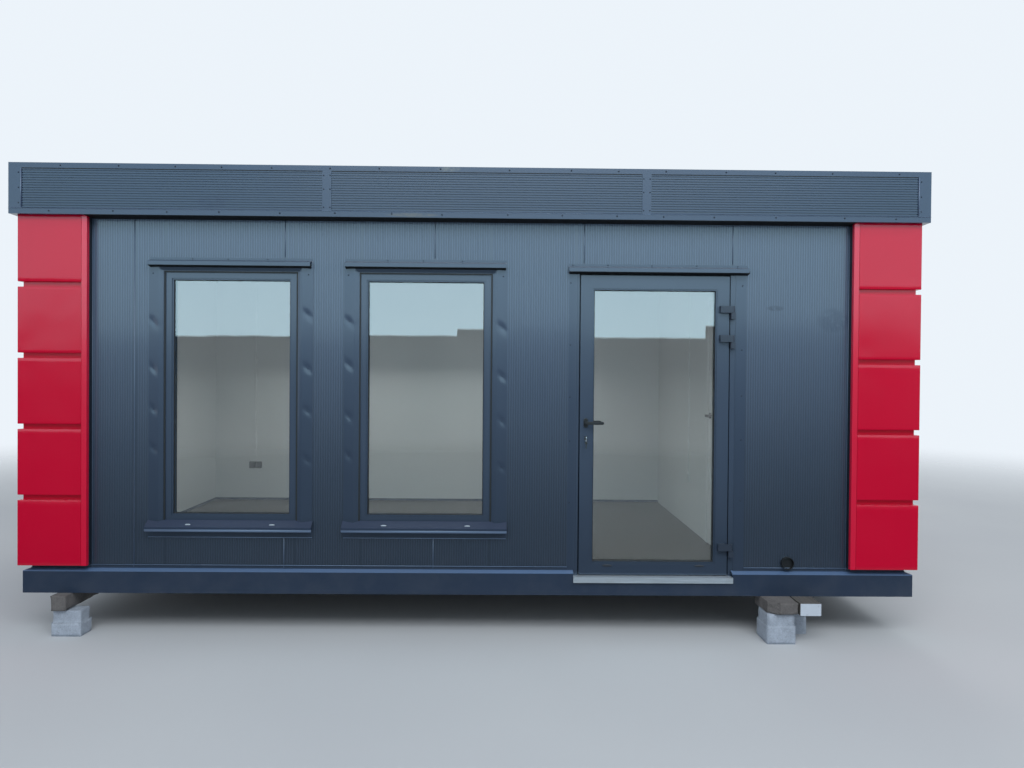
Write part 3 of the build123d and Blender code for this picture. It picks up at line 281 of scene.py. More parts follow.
def concrete(name, color, dark, grain):
    """Cast or broken stone with pits, stains and a rough face."""
    s = Shader(name)
    big = s.range(s.noise(9.0, 6.0, rough=0.65), 0.3, 0.7)
    fine = s.range(s.noise(grain, 4.0, rough=0.7), 0.35, 0.7)
    base = s.mix(big, dark, color)
    base = s.mix(s.times(fine, 0.5), base, shade(color, 1.25))
    pits = s.node("ShaderNodeTexVoronoi", {"Scale": 70.0, "Vector": s.place})
    hole = s.range(pits.outputs["Distance"], 0.06, 0.2, 1.0, 0.0)
    base = s.mix(s.times(hole, 0.55), base, shade(dark, 0.5))
    s.set(Base_Color=base, Roughness=0.93)
    lumps = s.bump(s.noise(22.0, 6.0, rough=0.7), 0.010)
    s.bump(s.noise(180.0, 3.0, rough=0.8), 0.0022, Normal=lumps)
    return s.mat


block_stone = concrete("block_stone", srgb(178, 188, 202), srgb(142, 151, 164), 120.0)
packer_stone = concrete("packer_stone", srgb(114, 110, 109), srgb(80, 77, 76), 90.0)


def timber(name):
    """Weathered grey timber whose end towards the yard is painted pale."""
    s = Shader(name)
    grain = s.range(s.noise(1.0, 6.0, stretch=(90, 5, 90), rough=0.65), 0.3, 0.7)
    base = s.mix(grain, srgb(70, 68, 66), srgb(104, 100, 96))
    end = s.beyond("Y", *PAINTED_END)
    worn = s.range(s.noise(30.0, 4.0, rough=0.7), 0.62, 0.75)
    pale = s.mix(s.times(worn, 0.5), srgb(196, 206, 218), srgb(132, 132, 130))
    s.set(Base_Color=s.mix(end, base, pale))
    s.set(Roughness=0.8)
    s.bump(grain, 0.0008)
    return s.mat


old_timber = timber("old_timber")


def aluminium(name):
    """Brushed mill-finish aluminium with faint scratches along its length."""
    s = Shader(name)
    grain = s.noise(1.0, 5.0, stretch=(6, 900, 900), rough=0.7)
    base = s.mix(s.range(grain, 0.35, 0.65), srgb(170, 180, 190), srgb(204, 212, 220))
    smear = s.range(s.noise(9.0, 4.0), 0.5, 0.75)
    s.set(Base_Color=s.mix(s.times(smear, 0.4), base, srgb(168, 172, 174)))
    s.set(Metallic=0.55)
    s.set(Roughness=s.range(grain, 0.3, 0.7, 0.30, 0.46))
    s.bump(grain, 0.00008)
    return s.mat


threshold_metal = aluminium("threshold_metal")


def chrome(name):
    """Plated metal with a fine grain in its polish."""
    s = Shader(name)
    s.set(Base_Color=s.patches(40.0, 2.0, srgb(196, 198, 202), srgb(214, 216, 219)))
    s.set(Metallic=1.0)
    s.set(Roughness=s.range(s.noise(160.0, 2.0), 0.3, 0.7, 0.12, 0.22))
    return s.mat


lock_chrome = chrome("lock_chrome")


def plastic(name, color, rough, right=None, shine=0.5):
    """Moulded plastic. right is its colour in the right-hand third of the cabin, if it differs.

    shine under one half dulls its sheen."""
    s = Shader(name)
    base = s.patches(25.0, 3.0, shade(color, 0.88), shade(color, 1.14))
    if right:
        base = s.mix(s.range(s.axis("X"), *RIGHT_THIRD), base, right)
    s.set(Base_Color=base)
    s.set(Roughness=s.range(s.noise(90.0, 3.0), 0.3, 0.7, rough - 0.05, rough + 0.08))
    s.bump(s.noise(900.0, 2.0), 0.00003)
    s.set(Specular_IOR_Level=shine)
    return s.mat


black_plastic = plastic("black_plastic", srgb(24, 25, 28), 0.42)
duct_plastic = plastic("duct_plastic", srgb(204, 207, 206), 0.40)
socket_plastic = plastic("socket_plastic", srgb(20, 22, 25), 0.50, srgb(196, 200, 200), shine=0.12)
# black for the real pane seals, and for the black strips that paint shadow under the caps and in the
# frame gaps
rubber_and_shadow = plastic("rubber_and_painted_shadow", srgb(17, 18, 21), 0.62)
cap_plastic = plastic("cap_plastic", srgb(36, 42, 52), 0.40)
pale_vent = plastic("pale_vent", srgb(168, 180, 190), 0.4)


SHEET_W = 1.05


def membrane_material():
    """Grey roofing sheet laid in widths across the roof, with dried puddles."""
    s = Shader("roof_membrane_sheet")
    base = s.patches(2.2, 5.0, srgb(96, 99, 103), srgb(122, 124, 126))
    seam = s.off_middle(s.math("DIVIDE", s.axis("X"), SHEET_W))
    line = s.range(seam, 0.47, 0.485)
    base = s.mix(s.times(line, 0.6), base, srgb(78, 80, 84))
    puddle = s.range(s.noise(1.3, 3.0, offset=(3, 1, 0)), 0.58, 0.7)
    s.set(Base_Color=s.mix(s.times(puddle, 0.4), base, srgb(136, 130, 122)))
    s.set(Roughness=0.78)
    s.bump(line, 0.0015)
    return s.mat


membrane = membrane_material()


BOARD_W, BOARD_LENGTH = 0.19, 1.38


def floor_material():
    """Dark oak-pattern boards laid along the cabin, each row shifted against the next."""
    s = Shader("floor_boards")
    row = s.math("DIVIDE", s.axis("Y"), BOARD_W)
    index = s.math("FLOOR", row)
    shift = s.math("FRACT", s.times(index, 0.37))
    along = s.math("ADD", s.math("DIVIDE", s.axis("X"), BOARD_LENGTH), shift)
    column = s.times(s.math("FLOOR", along), 3.17)
    plank = s.math("ADD", s.times(index, 7.31), column)
    tone = s.random(plank)
    grain = s.range(s.noise(1.0, 6.0, stretch=(3, 60, 60), rough=0.65), 0.3, 0.7)
    base = s.mix(grain, srgb(52, 46, 40), srgb(88, 78, 66))
    base = s.mix(s.times(tone, 0.35), base, srgb(74, 68, 60))
    gap = s.range(s.off_middle(row), 0.488, 0.494)
    end = s.range(s.off_middle(along), 0.4975, 0.4988)
    line = s.math("MAXIMUM", gap, end)
    s.set(Base_Color=s.mix(line, base, srgb(30, 26, 24)))
    s.set(Roughness=s.range(grain, 0.0, 1.0, 0.34, 0.46))
    s.bump(line, -0.0008)
    return s.mat


boards = floor_material()


def glass_material(name):
    """Coated double pane that lets light into the room and mirrors the surroundings."""
    s = Shader(name)
    s.set(Base_Color=s.patches(1.5, 2.0, (0.90, 0.95, 0.95, 1), (0.94, 0.97, 0.97, 1)))
    s.set(Transmission_Weight=1.0, IOR=1.5, Coat_Weight=1.0, Coat_IOR=2.2, Coat_Roughness=0.0)
    film = s.range(s.noise(5.0, 5.0, rough=0.7), 0.5, 0.8)
    s.set(Roughness=s.range(film, 0.0, 1.0, 0.0, 0.02))
    s.melt(s.node("ShaderNodeLightPath").outputs["Is Shadow Ray"], tint=(0.80, 0.84, 0.84, 1))
    return s.mat


glass = glass_material("clear_glass")

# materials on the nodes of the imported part
LOOKS = {}
for material, nodes in (
        (block_stone, "support_blocks"),
        (packer_stone, "support_packers"),
        (old_timber, "support_bearers"),
        (steel_paint, "base_frame floor_joists corner_posts roof_frame roof_deck"),
        (boards, "floor_deck"),
        (ledge_paint, "base_ledge"),
        (trim_paint, "wall_foot_trim window_surrounds window_aprons drip_caps door_surround"),
        (wall_paint, "front_wall_left front_wall_over_door front_wall_right back_wall end_walls"),
        (lining_paint, "ceiling partition_walls partition_head"),
        (membrane, "roof_membrane"),
        (fascia_paint, "front_fascia back_fascia end_fascias"),
        (cap_paint, "fascia_cap fascia_drip fascia_corner_caps fascia_straps"),
        (red_paint, "cassettes_front_left cassettes_front_right cassettes_back_left "
         "cassettes_back_right cassette_backings"),
        (red_trim_paint, "cassette_trims"),
        (shaded_liner_paint, "column_liners"),
        (frame_paint, "window_frames door_frame door_leaf"),
        (glass, "window_panes door_pane"),
        (shaded_sill_paint, "window_sills"),
        (threshold_metal, "door_threshold"),
        (hinge_paint, "door_hinge_bases door_hinge_wings"),
        (black_plastic, "door_roses door_handle inner_door_roses inner_door_handle waste_stub"),
        (lock_chrome, "door_lock inner_hinge_bases"),
        (inner_paint, "inner_door_frame inner_door_leaf"),
        (socket_plastic, "power_sockets"),
        (duct_plastic, "cable_ducts")):
    for name in nodes.split():
        LOOKS[name] = material
        data = NODES[name].data
        data.materials.clear()
        data.materials.append(material)


# mesh helpers

SCREW_RINGS = ((1.0, 0.0), (1.0, 0.0009), (0.62, 0.0012), (0.60, 0.0026), (0.42, 0.0036))
DOME_RINGS = ((1.0, 0.0), (1.0, 0.35), (0.9, 0.75), (0.66, 0.95), (0.3, 1.0))
CORNERS = ((-1, -1), (1, -1), (1, 1), (-1, 1))


def new_object(name, bm, material):
    """Turn a bmesh into an object of the scene."""
    mesh = bpy.data.meshes.new(name)
    bm.to_mesh(mesh)
    bm.free()
    mesh.materials.append(material)
    obj = bpy.data.objects.new(name, mesh)
    bpy.context.scene.collection.objects.link(obj)
    return obj


def piece(name, bm, material, body, smooth=False):
    """Turn a bmesh into a piece that rides on a body."""
    bmesh.ops.recalc_face_normals(bm, faces=bm.faces)
    obj = new_object(name, bm, material)
    if smooth:
        obj.data.shade_smooth()
    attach(obj, body)
    return obj


def around(sides):
    """Cosine and sine at even steps of a full turn."""
    turns = [math.tau * i / sides for i in range(sides)]
    return [(math.cos(a), math.sin(a)) for a in turns]


def bridge(bm, loops, closed=False):
    """Join each loop of points to the next with quads, and the last to the first if closed."""
    pairs = list(zip(loops, loops[1:]))
    if closed:
        pairs.append((loops[-1], loops[0]))
    for one, two in pairs:
        for k in range(len(one)):
            after = (k + 1) % len(one)
            bm.faces.new((one[k], one[after], two[after], two[k]))


def add_screw(bm, at, facing, radius=SCREW_R):
    """A pan-head screw on its washer, its head turned along facing."""
    turn = Vector((0, 0, 1)).rotation_difference(Vector(facing)).to_matrix().to_4x4()
    place = Matrix.Translation(at) @ turn
    loops = []
    for r, h in SCREW_RINGS:
        points = [place @ Vector((radius * r * c, radius * r * s, h)) for c, s in around(10)]
        loops.append([bm.verts.new(p) for p in points])
    bridge(bm, loops)
    bm.faces.new(loops[-1])


def add_dome(bm, at, half, rise):
    """A shallow oval cap on a front face: half gives its two half widths, rise its height."""
    loops = []
    for r, h in DOME_RINGS:
        inset = (1 - r) * min(half)
        wide, tall = half[0] - inset, half[1] - inset
        points = [(at[0] + wide * c, at[1] - h * rise, at[2] + tall * s) for c, s in around(20)]
        loops.append([bm.verts.new(p) for p in points])
    bridge(bm, loops)
    bm.faces.new(loops[-1])


def rib_sheet(bm, low, high, z0, z1, level, outward, along):
    """A vertical micro-ribbed skin from low to high along one axis, between two heights.

    level is the plane of the wall face, outward its sign, along the axis it runs on: x or y."""
    flat = (RIB_PITCH - RIB_CREST) / 2
    profile = [(low, 0.0)]
    k = math.ceil(low / RIB_PITCH)
    while (k + 1) * RIB_PITCH < high:
        foot = k * RIB_PITCH + flat
        profile += [(foot, 0.0), (foot + RIB_SLOPE, RIB_RISE)]
        profile += [(foot + RIB_CREST - RIB_SLOPE, RIB_RISE), (foot + RIB_CREST, 0.0)]
        k += 1
    profile.append((high, 0.0))
    rows = []
    for z in (z0, z1):
        row = []
        for t, rise in profile:
            out = level + outward * (rise + RIB_CLEAR)
            row.append(bm.verts.new((t, out, z) if along == "x" else (out, t, z)))
        rows.append(row)
    for i in range(len(profile) - 1):
        bm.faces.new((rows[0][i], rows[0][i + 1], rows[1][i + 1], rows[1][i]))


def add_frame(bm, x, z, width, height, profile):
    """Sweep a closed profile of (outward, y) points round a rectangle, with mitred corners."""
    loops = []
    for out, y in profile:
        a, b = width / 2 + out, height / 2 + out
        loops.append([bm.verts.new((x + sx * a, y, z + sz * b)) for sx, sz in CORNERS])
    bridge(bm, loops, closed=True)


def add_strip(bm, axis, start, end, profile):
    """Push a closed outline straight along one axis. Its points lie on the other two axes."""
    ends = []
    for t in (start, end):
        ends.append([bm.verts.new(p[:axis] + (t,) + p[axis:]) for p in profile])
    bridge(bm, ends)
    for loop in ends:
        bm.faces.new(loop)


def add_bar(bm, axis, start, end, low, high):
    """A box along one axis, between two corners on the other two axes."""
    add_strip(bm, axis, start, end, (low, (high[0], low[1]), high, (low[0], high[1])))


def add_shadow_strip(bm, axis, start, end, outer, inner):
    """A level strip between two upright edges, each given as its plane, its foot and its head."""
    (a, foot, head), (b, low, high) = outer, inner
    add_strip(bm, axis, start, end, ((a, foot), (a, head), (b, high), (b, low)))


def half_round(half, rise, clear):
    """Points of a half-round fold, as steps along the face and out from it."""
    turns = [math.pi * i / 5 for i in range(6)]
    return [(half * math.cos(a), clear + rise * math.sin(a)) for a in turns]


def edge_bead(bm, axis, at, level, side, z0, z1, half=0.0026):
    """A slim upright half-round fold on the face of a wall that runs along x (0) or y (1)."""
    points = [(at + step, level + side * out) for step, out in half_round(half, 0.0028, 0.0004)]
    if axis == 1:
        points = [p[::-1] for p in points]
    add_strip(bm, 2, z0, z1, points)


def level_bead(bm, axis, start, end, face, side, z):
    """A slim level half-round fold on a face, along x (0) or y (1)."""
    points = [(face + side * out, z + step) for step, out in half_round(0.0024, 0.0024, 0.0002)]
    add_strip(bm, axis, start, end, points)


def solid_copy(name):
    """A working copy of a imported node, its triangles merged into flat faces."""
    bm = bmesh.new()
    bm.from_mesh(NODES[name].data)
    bmesh.ops.remove_doubles(bm, verts=bm.verts, dist=1e-6)
    bmesh.ops.dissolve_limit(bm, angle_limit=math.radians(0.5), verts=bm.verts, edges=bm.edges)
    return bm


def slice_at(bm, axis, stations):
    """Cut every face on the planes across one axis, so that it can be bent."""
    normal = Vector((0, 0, 0))
    normal[axis] = 1
    for s in stations:
        everything = bm.verts[:] + bm.edges[:] + bm.faces[:]
        bmesh.ops.bisect_plane(bm, geom=everything, plane_co=normal * s, plane_no=normal)


def stand_in(name, bm, angle):
    """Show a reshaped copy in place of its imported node, sharp where it turns by more than angle."""
    obj = piece(name + "_shaped", bm, LOOKS[name], "cabin", smooth=True)
    obj.data.set_sharp_from_angle(angle=math.radians(angle))
    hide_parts(name)


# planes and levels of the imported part

# underside of the base over the ground
BASE_Z = 0.275
WALL_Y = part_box("front_wall_left")[0][1]
WALL_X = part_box("end_walls")[1][0]
WALL_LOW, WALL_HIGH = (corner[2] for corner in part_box("front_wall_right"))
FRAME_LOW, FRAME_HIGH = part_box("window_frames")
SUR_LOW, SUR_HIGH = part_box("window_surrounds")
DOOR_LOW, DOOR_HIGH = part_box("door_frame")
DOOR_SUR_LOW, DOOR_SUR_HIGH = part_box("door_surround")
LEAF_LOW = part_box("door_leaf")[0]
CAP_LOW, CAP_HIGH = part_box("fascia_cap")
DRIP_LOW, DRIP_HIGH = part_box("fascia_drip")
LINER_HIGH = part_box("column_liners")[1]

# the walls lie open this far out from the middle, between the columns
LINER_REACH = 0.430
REACH_X, REACH_Y = LINER_HIGH[0] - LINER_REACH, LINER_HIGH[1] - LINER_REACH

WIN_W, WIN_H = 0.88, FRAME_HIGH[2] - FRAME_LOW[2]
WINDOWS = (FRAME_LOW[0] + WIN_W / 2, FRAME_HIGH[0] - WIN_W / 2)
WIN_MID = (FRAME_LOW[2] + FRAME_HIGH[2]) / 2
SUR_W = SUR_HIGH[0] - SUR_LOW[0] - (WINDOWS[1] - WINDOWS[0])
PANEL_JOINTS = [-2.280 + i * 1.011 for i in range(5)]
END_JOINTS = (-0.5055, 0.5055)

# undersides of the rain caps, and the rows of rivets above them
WINDOW_LIP, DOOR_LIP = SUR_HIGH[2] - 0.037, DOOR_SUR_HIGH[2] - 0.020
WINDOW_CAP_Z, DOOR_CAP_Z = SUR_HIGH[2] + 0.011, DOOR_SUR_HIGH[2] + 0.029


# micro-ribbed skins of the walls


def clear_runs(low, high, joints, gap=0.004):
    """Split a run of wall at its panel joints."""
    marks = [low] + [j + s * gap for j in joints if low < j < high for s in (-1, 1)] + [high]
    return list(zip(marks[::2], marks[1::2]))


def front_skin():
    """Ribs of the front wall, left out over the windows and the door."""
    bm = bmesh.new()
    openings = [(x - WIN_W / 2, x + WIN_W / 2, FRAME_LOW[2], FRAME_HIGH[2]) for x in WINDOWS]
    openings.append((DOOR_LOW[0], DOOR_HIGH[0], WALL_LOW, DOOR_HIGH[2]))
    cuts = sorted({-REACH_X, REACH_X} | {c for o in openings for c in o[:2]})
    for a, b in zip(cuts, cuts[1:]):
        spans = [(WALL_LOW, WALL_HIGH)]
        for left, right, foot, head in openings:
            if left <= (a + b) / 2 <= right:
                spans = [(WALL_LOW, foot), (head, WALL_HIGH)]
        for low, high in clear_runs(a, b, PANEL_JOINTS):
            for z0, z1 in spans:
                if z1 - z0 > 0.01:
                    rib_sheet(bm, low, high, z0, z1, WALL_Y, -1, "x")
    piece("front_wall_ribs", bm, wall_paint, "cabin")


def rear_skins():
    """Ribs of the back wall and of both ends."""
    bm = bmesh.new()
    for low, high in clear_runs(-REACH_X, REACH_X, PANEL_JOINTS):
        rib_sheet(bm, low, high, WALL_LOW, WALL_HIGH, -WALL_Y, 1, "x")
    piece("back_wall_ribs", bm, wall_paint, "cabin")
    bm = bmesh.new()
    for side in (-1, 1):
        for low, high in clear_runs(-REACH_Y, REACH_Y, END_JOINTS):
            rib_sheet(bm, low, high, WALL_LOW, WALL_HIGH, side * WALL_X, side, "y")
    piece("end_wall_ribs", bm, wall_paint, "cabin")


front_skin()
rear_skins()


# red trays with the soft dents of thin sheet

TRAY_JOINT, TRAY_PITCH, TRAY_GAP = BASE_Z + 0.643, 0.474, 0.035
# spacing of the cuts that let a tray bend, along x, y and z
TRAY_SLICES = (0.03, 0.03, 0.04)


def tray_levels():
    """Foot and top of each of the five trays of a column."""
    low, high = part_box("cassettes_front_left")
    levels = []
    foot = low[2]
    for k in range(4):
        joint = TRAY_JOINT + k * TRAY_PITCH
        levels.append((foot, joint - TRAY_GAP / 2))
        foot = joint + TRAY_GAP / 2
    return levels + [(foot, high[2])]


def tray_bend(u, v, seed):
    """How far a point of a tray's face lies in, u and v from -1 to 1 across it."""
    calm = (1 - u * u) * (1 - v * v)
    rng = random.Random(seed)
    swell = rng.uniform(-0.0014, 0.0022) * calm
    for cu, cv in CORNERS:
        pull = rng.uniform(-0.0003, 0.0022)
        along = (u * cu + v * cv) / 2
        off = (u * cv - v * cu) / 2
        if along > 0:
            swell += pull * math.exp(-(off / 0.16) ** 2) * along * min(1.0, 4 * calm)
    swell += 0.0011 * noise.noise(Vector((u * 1.9, v * 1.9, seed * 3.7))) * calm
    return max(-0.0006, swell)


def round_tray_edges(bm, sx, sy):
    """Give the folded top and foot of each tray its small outer radius."""
    edges = []
    for e in bm.edges:
        if len(e.link_faces) != 2 or abs(e.verts[0].co.z - e.verts[1].co.z) > 1e-5:
            continue
        face, fold = sorted((f.normal for f in e.link_faces), key=lambda n: abs(n.z))
        if abs(face.z) < 0.1 and abs(fold.z) > 0.9 and face.x * sx + face.y * sy > 0.5:
            edges.append(e)
    bmesh.ops.bevel(bm, geom=edges, offset=0.0024, offset_type="OFFSET", segments=2, profile=0.5,
                    affect="EDGES")


def dent_cassettes(name, levels):
    """Round the edges of a column's trays and dent their two outer faces."""
    bm = solid_copy(name)
    bm.normal_update()
    low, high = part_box(name)
    for axis, pitch in enumerate(TRAY_SLICES):
        count = int((high[axis] - low[axis]) / pitch)
        slice_at(bm, axis, [low[axis] + pitch * k for k in range(1, count + 1)])
    sx = 1 if low[0] > 0 else -1
    sy = 1 if low[1] > 0 else -1
    outer = (high[0] if sx > 0 else low[0], high[1] if sy > 0 else low[1])
    round_tray_edges(bm, sx, sy)
    for v in bm.verts:
        for axis in (0, 1):
            if abs(v.co[axis] - outer[axis]) > 1e-4:
                continue
            other = 1 - axis
            u = (v.co[other] - low[other]) / (high[other] - low[other]) * 2 - 1
            for k, (z0, z1) in enumerate(levels):
                if z0 - 1e-4 <= v.co.z <= z1 + 1e-4:
                    w = (v.co.z - z0) / (z1 - z0) * 2 - 1
                    seed = k * 7 + axis * 3 + (sx > 0) * 31 + (sy > 0) * 57
                    v.co[axis] -= (sx, sy)[axis] * tray_bend(u, w, seed)
    stand_in(name, bm, 28)


for corner in ("front_left", "front_right", "back_left", "back_right"):
    dent_cassettes("cassettes_" + corner, tray_levels())


# fascia sheets with their valleys rolled to full depth

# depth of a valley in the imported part, and what is added to it
VALLEY_CAD, VALLEY_MORE = 0.0015, 0.0020


def deep_fascia(name, axis):
    """Push the floors of the valleys further in, across the given axis."""
    bm = solid_copy(name)
    low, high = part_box(name)
    for v in bm.verts:
        for edge, way in ((low[axis], 1), (high[axis], -1)):
            if abs(v.co[axis] - edge - way * VALLEY_CAD) < 2e-4:
                v.co[axis] += way * VALLEY_MORE
    stand_in(name, bm, 20)


for node, across in (("front_fascia", 1), ("back_fascia", 1), ("end_fascias", 0)):
    deep_fascia(node, across)


# folded edges of the wall panels, and the strips beside the columns, in a paler paint that paints their
# highlight


def panel_edges():
    """Upright folds on the panel joints, clear of the openings, and beside the columns, in a paler
    paint that paints their highlight.
    """
    bm = bmesh.new()
    for side in (-1, 1):
        front = side < 0
        for j in PANEL_JOINTS:
            runs = [(WALL_LOW, WALL_HIGH)]
            if front and any(abs(j - x) < SUR_W / 2 for x in WINDOWS):
                runs = [(WALL_LOW, SUR_LOW[2] - 0.07), (SUR_HIGH[2] + 0.03, WALL_HIGH)]
            if front and DOOR_LOW[0] < j < DOOR_HIGH[0] + 0.05:
                runs = [(DOOR_HIGH[2] + 0.045, WALL_HIGH)]
            for z0, z1 in runs:
                edge_bead(bm, 0, j + 0.0008, side * -WALL_Y, side, z0, z1, 0.0032)
        for x in (-REACH_X + 0.006, REACH_X - 0.006):
            edge_bead(bm, 0, x, side * -WALL_Y, side, WALL_LOW, WALL_HIGH)
        for y in END_JOINTS + (-REACH_Y + 0.006, REACH_Y - 0.006):
            edge_bead(bm, 1, y, side * WALL_X, side, WALL_LOW, WALL_HIGH)
    piece("panel_edges", bm, joint_highlight_paint, "cabin", smooth=True)


panel_edges()


# window surrounds, pressed in where their screws are

# side of the window, which window, heights over the base
DIMPLES = ((-1, 0, (1.823, 1.510, 1.236, 0.97)), (1, 0, (1.880, 1.518, 1.231, 0.899)),
           (-1, 1, (1.836, 1.545, 1.196, 0.93)), (1, 1, (1.803, 1.475, 1.171, 0.86)))
DIMPLE_DEPTH, DIMPLE_W, DIMPLE_H, DIMPLE_LEAN = 0.0036, 0.021, 0.032, 0.45
FLANGE = 0.070
SLICE_Z = 0.009
# plane that the screws in the dimples sit on
DIMPLE_FLOOR = WALL_Y - 0.0036


def dimpled_surrounds():
    """Reshape the surrounds and return where their screws sit, as x and z."""
    bm = solid_copy("window_surrounds")
    spots = []
    for side, k, heights in DIMPLES:
        edge = WINDOWS[k] + side * SUR_W / 2
        spots += [(edge - side * 0.034, BASE_Z + h) for h in heights]
        slice_at(bm, 0, [edge - side * FLANGE * i / 10 for i in range(1, 10)])
    rows = int((SUR_HIGH[2] - SUR_LOW[2]) / SLICE_Z)
    slice_at(bm, 2, [SUR_LOW[2] + SLICE_Z * i for i in range(1, rows)])
    for v in bm.verts:
        if v.co.y > WALL_Y - 0.0035:
            continue
        for x, z in spots:
            lean = (v.co.x - x) + DIMPLE_LEAN * (v.co.z - z)
            away = math.hypot(lean / DIMPLE_W, (v.co.z - z) / DIMPLE_H)
            if away < 3:
                v.co.y = min(v.co.y + DIMPLE_DEPTH * math.exp(-away * away), WALL_Y - 0.0015)
    stand_in("window_surrounds", bm, 40)
    return spots


surround_spots = dimpled_surrounds()


# screws and rivets

# plane that the screws of both ends sit on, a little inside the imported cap
END_FACE = CAP_HIGH[0] - 0.0037
STRAPS = (-0.966, 1.156)
DOOR_RIVETS = (0.678, 0.916, 1.215, 1.52, 1.80)
DOOR_SIDES = ((DOOR_LOW[0] - 0.042, (2.113, 1.692, 1.339, 1.040, 0.62)),
              (DOOR_HIGH[0] + 0.045, (2.104, 1.668, 1.355, 1.055, 0.64)))


def fascia_screws():
    """Uneven rows along the cap and the drip flashing, and small ones on straps and corners."""
    bm = bmesh.new()
    rng = random.Random(11)
    rows = (CAP_HIGH[2] - 0.018, DRIP_LOW[2] + 0.021)
    for side in (-1, 1):
        face = side * CAP_HIGH[1]
        for z in rows:
            x = CAP_LOW[0] + 0.22 * rng.uniform(0.8, 1.2)
            while x < CAP_HIGH[0] - 0.1:
                add_screw(bm, (side * x, face, z + rng.uniform(-0.002, 0.002)), (0, side, 0))
                x += rng.uniform(0.30, 0.46)
        for strap in STRAPS:
            for dx in (-0.021, 0.021):
                for z in (2.86, 2.98, 3.07):
                    add_screw(bm, (-side * strap + dx, face, z), (0, side, 0), SMALL_SCREW_R)
        for end in (-1, 1):
            corner_x, corner_y = end * (CAP_HIGH[0] - 0.066), side * (CAP_HIGH[1] - 0.066)
            for z in (2.87, 2.97, 3.07):
                add_screw(bm, (corner_x, face, z), (0, side, 0), SMALL_SCREW_R)
                add_screw(bm, (end * END_FACE, corner_y, z), (end, 0, 0), SMALL_SCREW_R)
        for z in rows:
            for k in range(8):
                y = -1.32 + k * 0.377 + rng.uniform(-0.03, 0.03)
                add_screw(bm, (side * END_FACE, y, z), (side, 0, 0))
    piece("fascia_screws", bm, screw_paint, "cabin", smooth=True)


def opening_screws():
    """Screws and rivets on the surrounds of the windows and the door."""
    bm = bmesh.new()
    level = WALL_Y - 0.002
    spots = [(x, DIMPLE_FLOOR, z, RIVET_R) for x, z in surround_spots]
    half, head = SUR_W / 2 - 0.03, SUR_HIGH[2] - 0.09
    for x in WINDOWS:
        spots += [(x + side * half, WALL_Y - 0.0085, head, SMALL_SCREW_R) for side in (-1, 1)]
        spots += [(x + offset, level, WINDOW_CAP_Z, RIVET_R) for offset in (-0.26, -0.02, 0.245)]
    spots += [(x, level, DOOR_CAP_Z, RIVET_R) for x in DOOR_RIVETS]
    for x, heights in DOOR_SIDES:
        spots += [(x, level, BASE_Z + h, SMALL_SCREW_R) for h in heights]
    for x, y, z, radius in spots:
        add_screw(bm, (x, y, z), (0, -1, 0), radius)
    piece("opening_screws", bm, screw_paint, "cabin", smooth=True)


fascia_screws()
opening_screws()


# black strips painting the shadow under the caps, and rolled hems and folds in a paler paint that
# paints their highlight


def painted_cap_shadows():
    """Black strips that paint the shadow under the rain caps, under the drip flashing and under the lip
    of the fascia's cap.
    """
    bm = bmesh.new()
    caps = [(x - SUR_W / 2 + 0.012, x + SUR_W / 2 - 0.012, WINDOW_LIP) for x in WINDOWS]
    caps.append((DOOR_SUR_LOW[0], DOOR_SUR_HIGH[0] + 0.008, DOOR_LIP))
    for left, right, z in caps:
        add_shadow_strip(bm, 0, left, right, (WALL_Y - 0.0465, z - 0.0025, z + 0.012),
                 (WALL_Y - 0.0025, z - 0.012, z + 0.020))
    z = DRIP_LOW[2]
    sides = ((0, REACH_X, -WALL_Y, DRIP_HIGH[1]), (1, REACH_Y, WALL_X, DRIP_HIGH[0]))
    for side in (-1, 1):
        for axis, reach, wall, drip in sides:
            add_shadow_strip(bm, axis, -reach, reach, (side * (drip - 0.002), z - 0.0025, z - 0.0005),
                     (side * wall, z - 0.009, z - 0.0005))
        lip, reach = side * (CAP_HIGH[1] - 0.0016), CAP_HIGH[0] - 0.004
        foot, head = CAP_LOW[2] - 0.0050, CAP_LOW[2] - 0.0003
        add_bar(bm, 0, -reach, reach, (lip, foot), (lip - side * 0.004, head))
    piece("painted_cap_shadows", bm, rubber_and_shadow, "cabin")


def window_half(box):
    """Half the width that one window's share of a paired node has."""
    return (box[1][0] - box[0][0] - (WINDOWS[1] - WINDOWS[0])) / 2


def sill_hems():
    """Rolled hems on sills and aprons, and folds on the foot trim and the drip flashing, in a paler
    paint that paints the highlight on their edges.
    """
    bm = bmesh.new()
    sill, apron, trim = (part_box(name) for name in ("window_sills", "window_aprons", "wall_foot_trim"))
    tip, foot = sill[0][1] + 0.0050, sill[0][2] - 0.0085
    roll = [(tip + 0.0050 * c, foot + 0.0100 * s) for c, s in around(12)]
    for x in WINDOWS:
        half = window_half(sill)
        add_strip(bm, 0, x - half, x + half, roll)
        half = window_half(apron)
        level_bead(bm, 0, x - half, x + half, apron[0][1], -1, apron[0][2] + 0.0025)
    top, fold = trim[1][2] - 0.002, DRIP_HIGH[2] - 0.002
    for side in (-1, 1):
        runs = [(-REACH_X, REACH_X)]
        if side < 0:
            runs = [(-REACH_X, DOOR_SUR_LOW[0]), (DOOR_SUR_HIGH[0], REACH_X)]
        for start, end in runs:
            level_bead(bm, 0, start, end, side * trim[1][1], side, top)
        level_bead(bm, 1, -REACH_Y, REACH_Y, side * trim[1][0], side, top)
        level_bead(bm, 0, -DRIP_HIGH[0], DRIP_HIGH[0], side * DRIP_HIGH[1], side, fold)
        level_bead(bm, 1, -DRIP_HIGH[1], DRIP_HIGH[1], side * (DRIP_HIGH[0] - 0.0026), side, fold)
    piece("sill_hems", bm, edge_highlight_paint, "cabin", smooth=True)


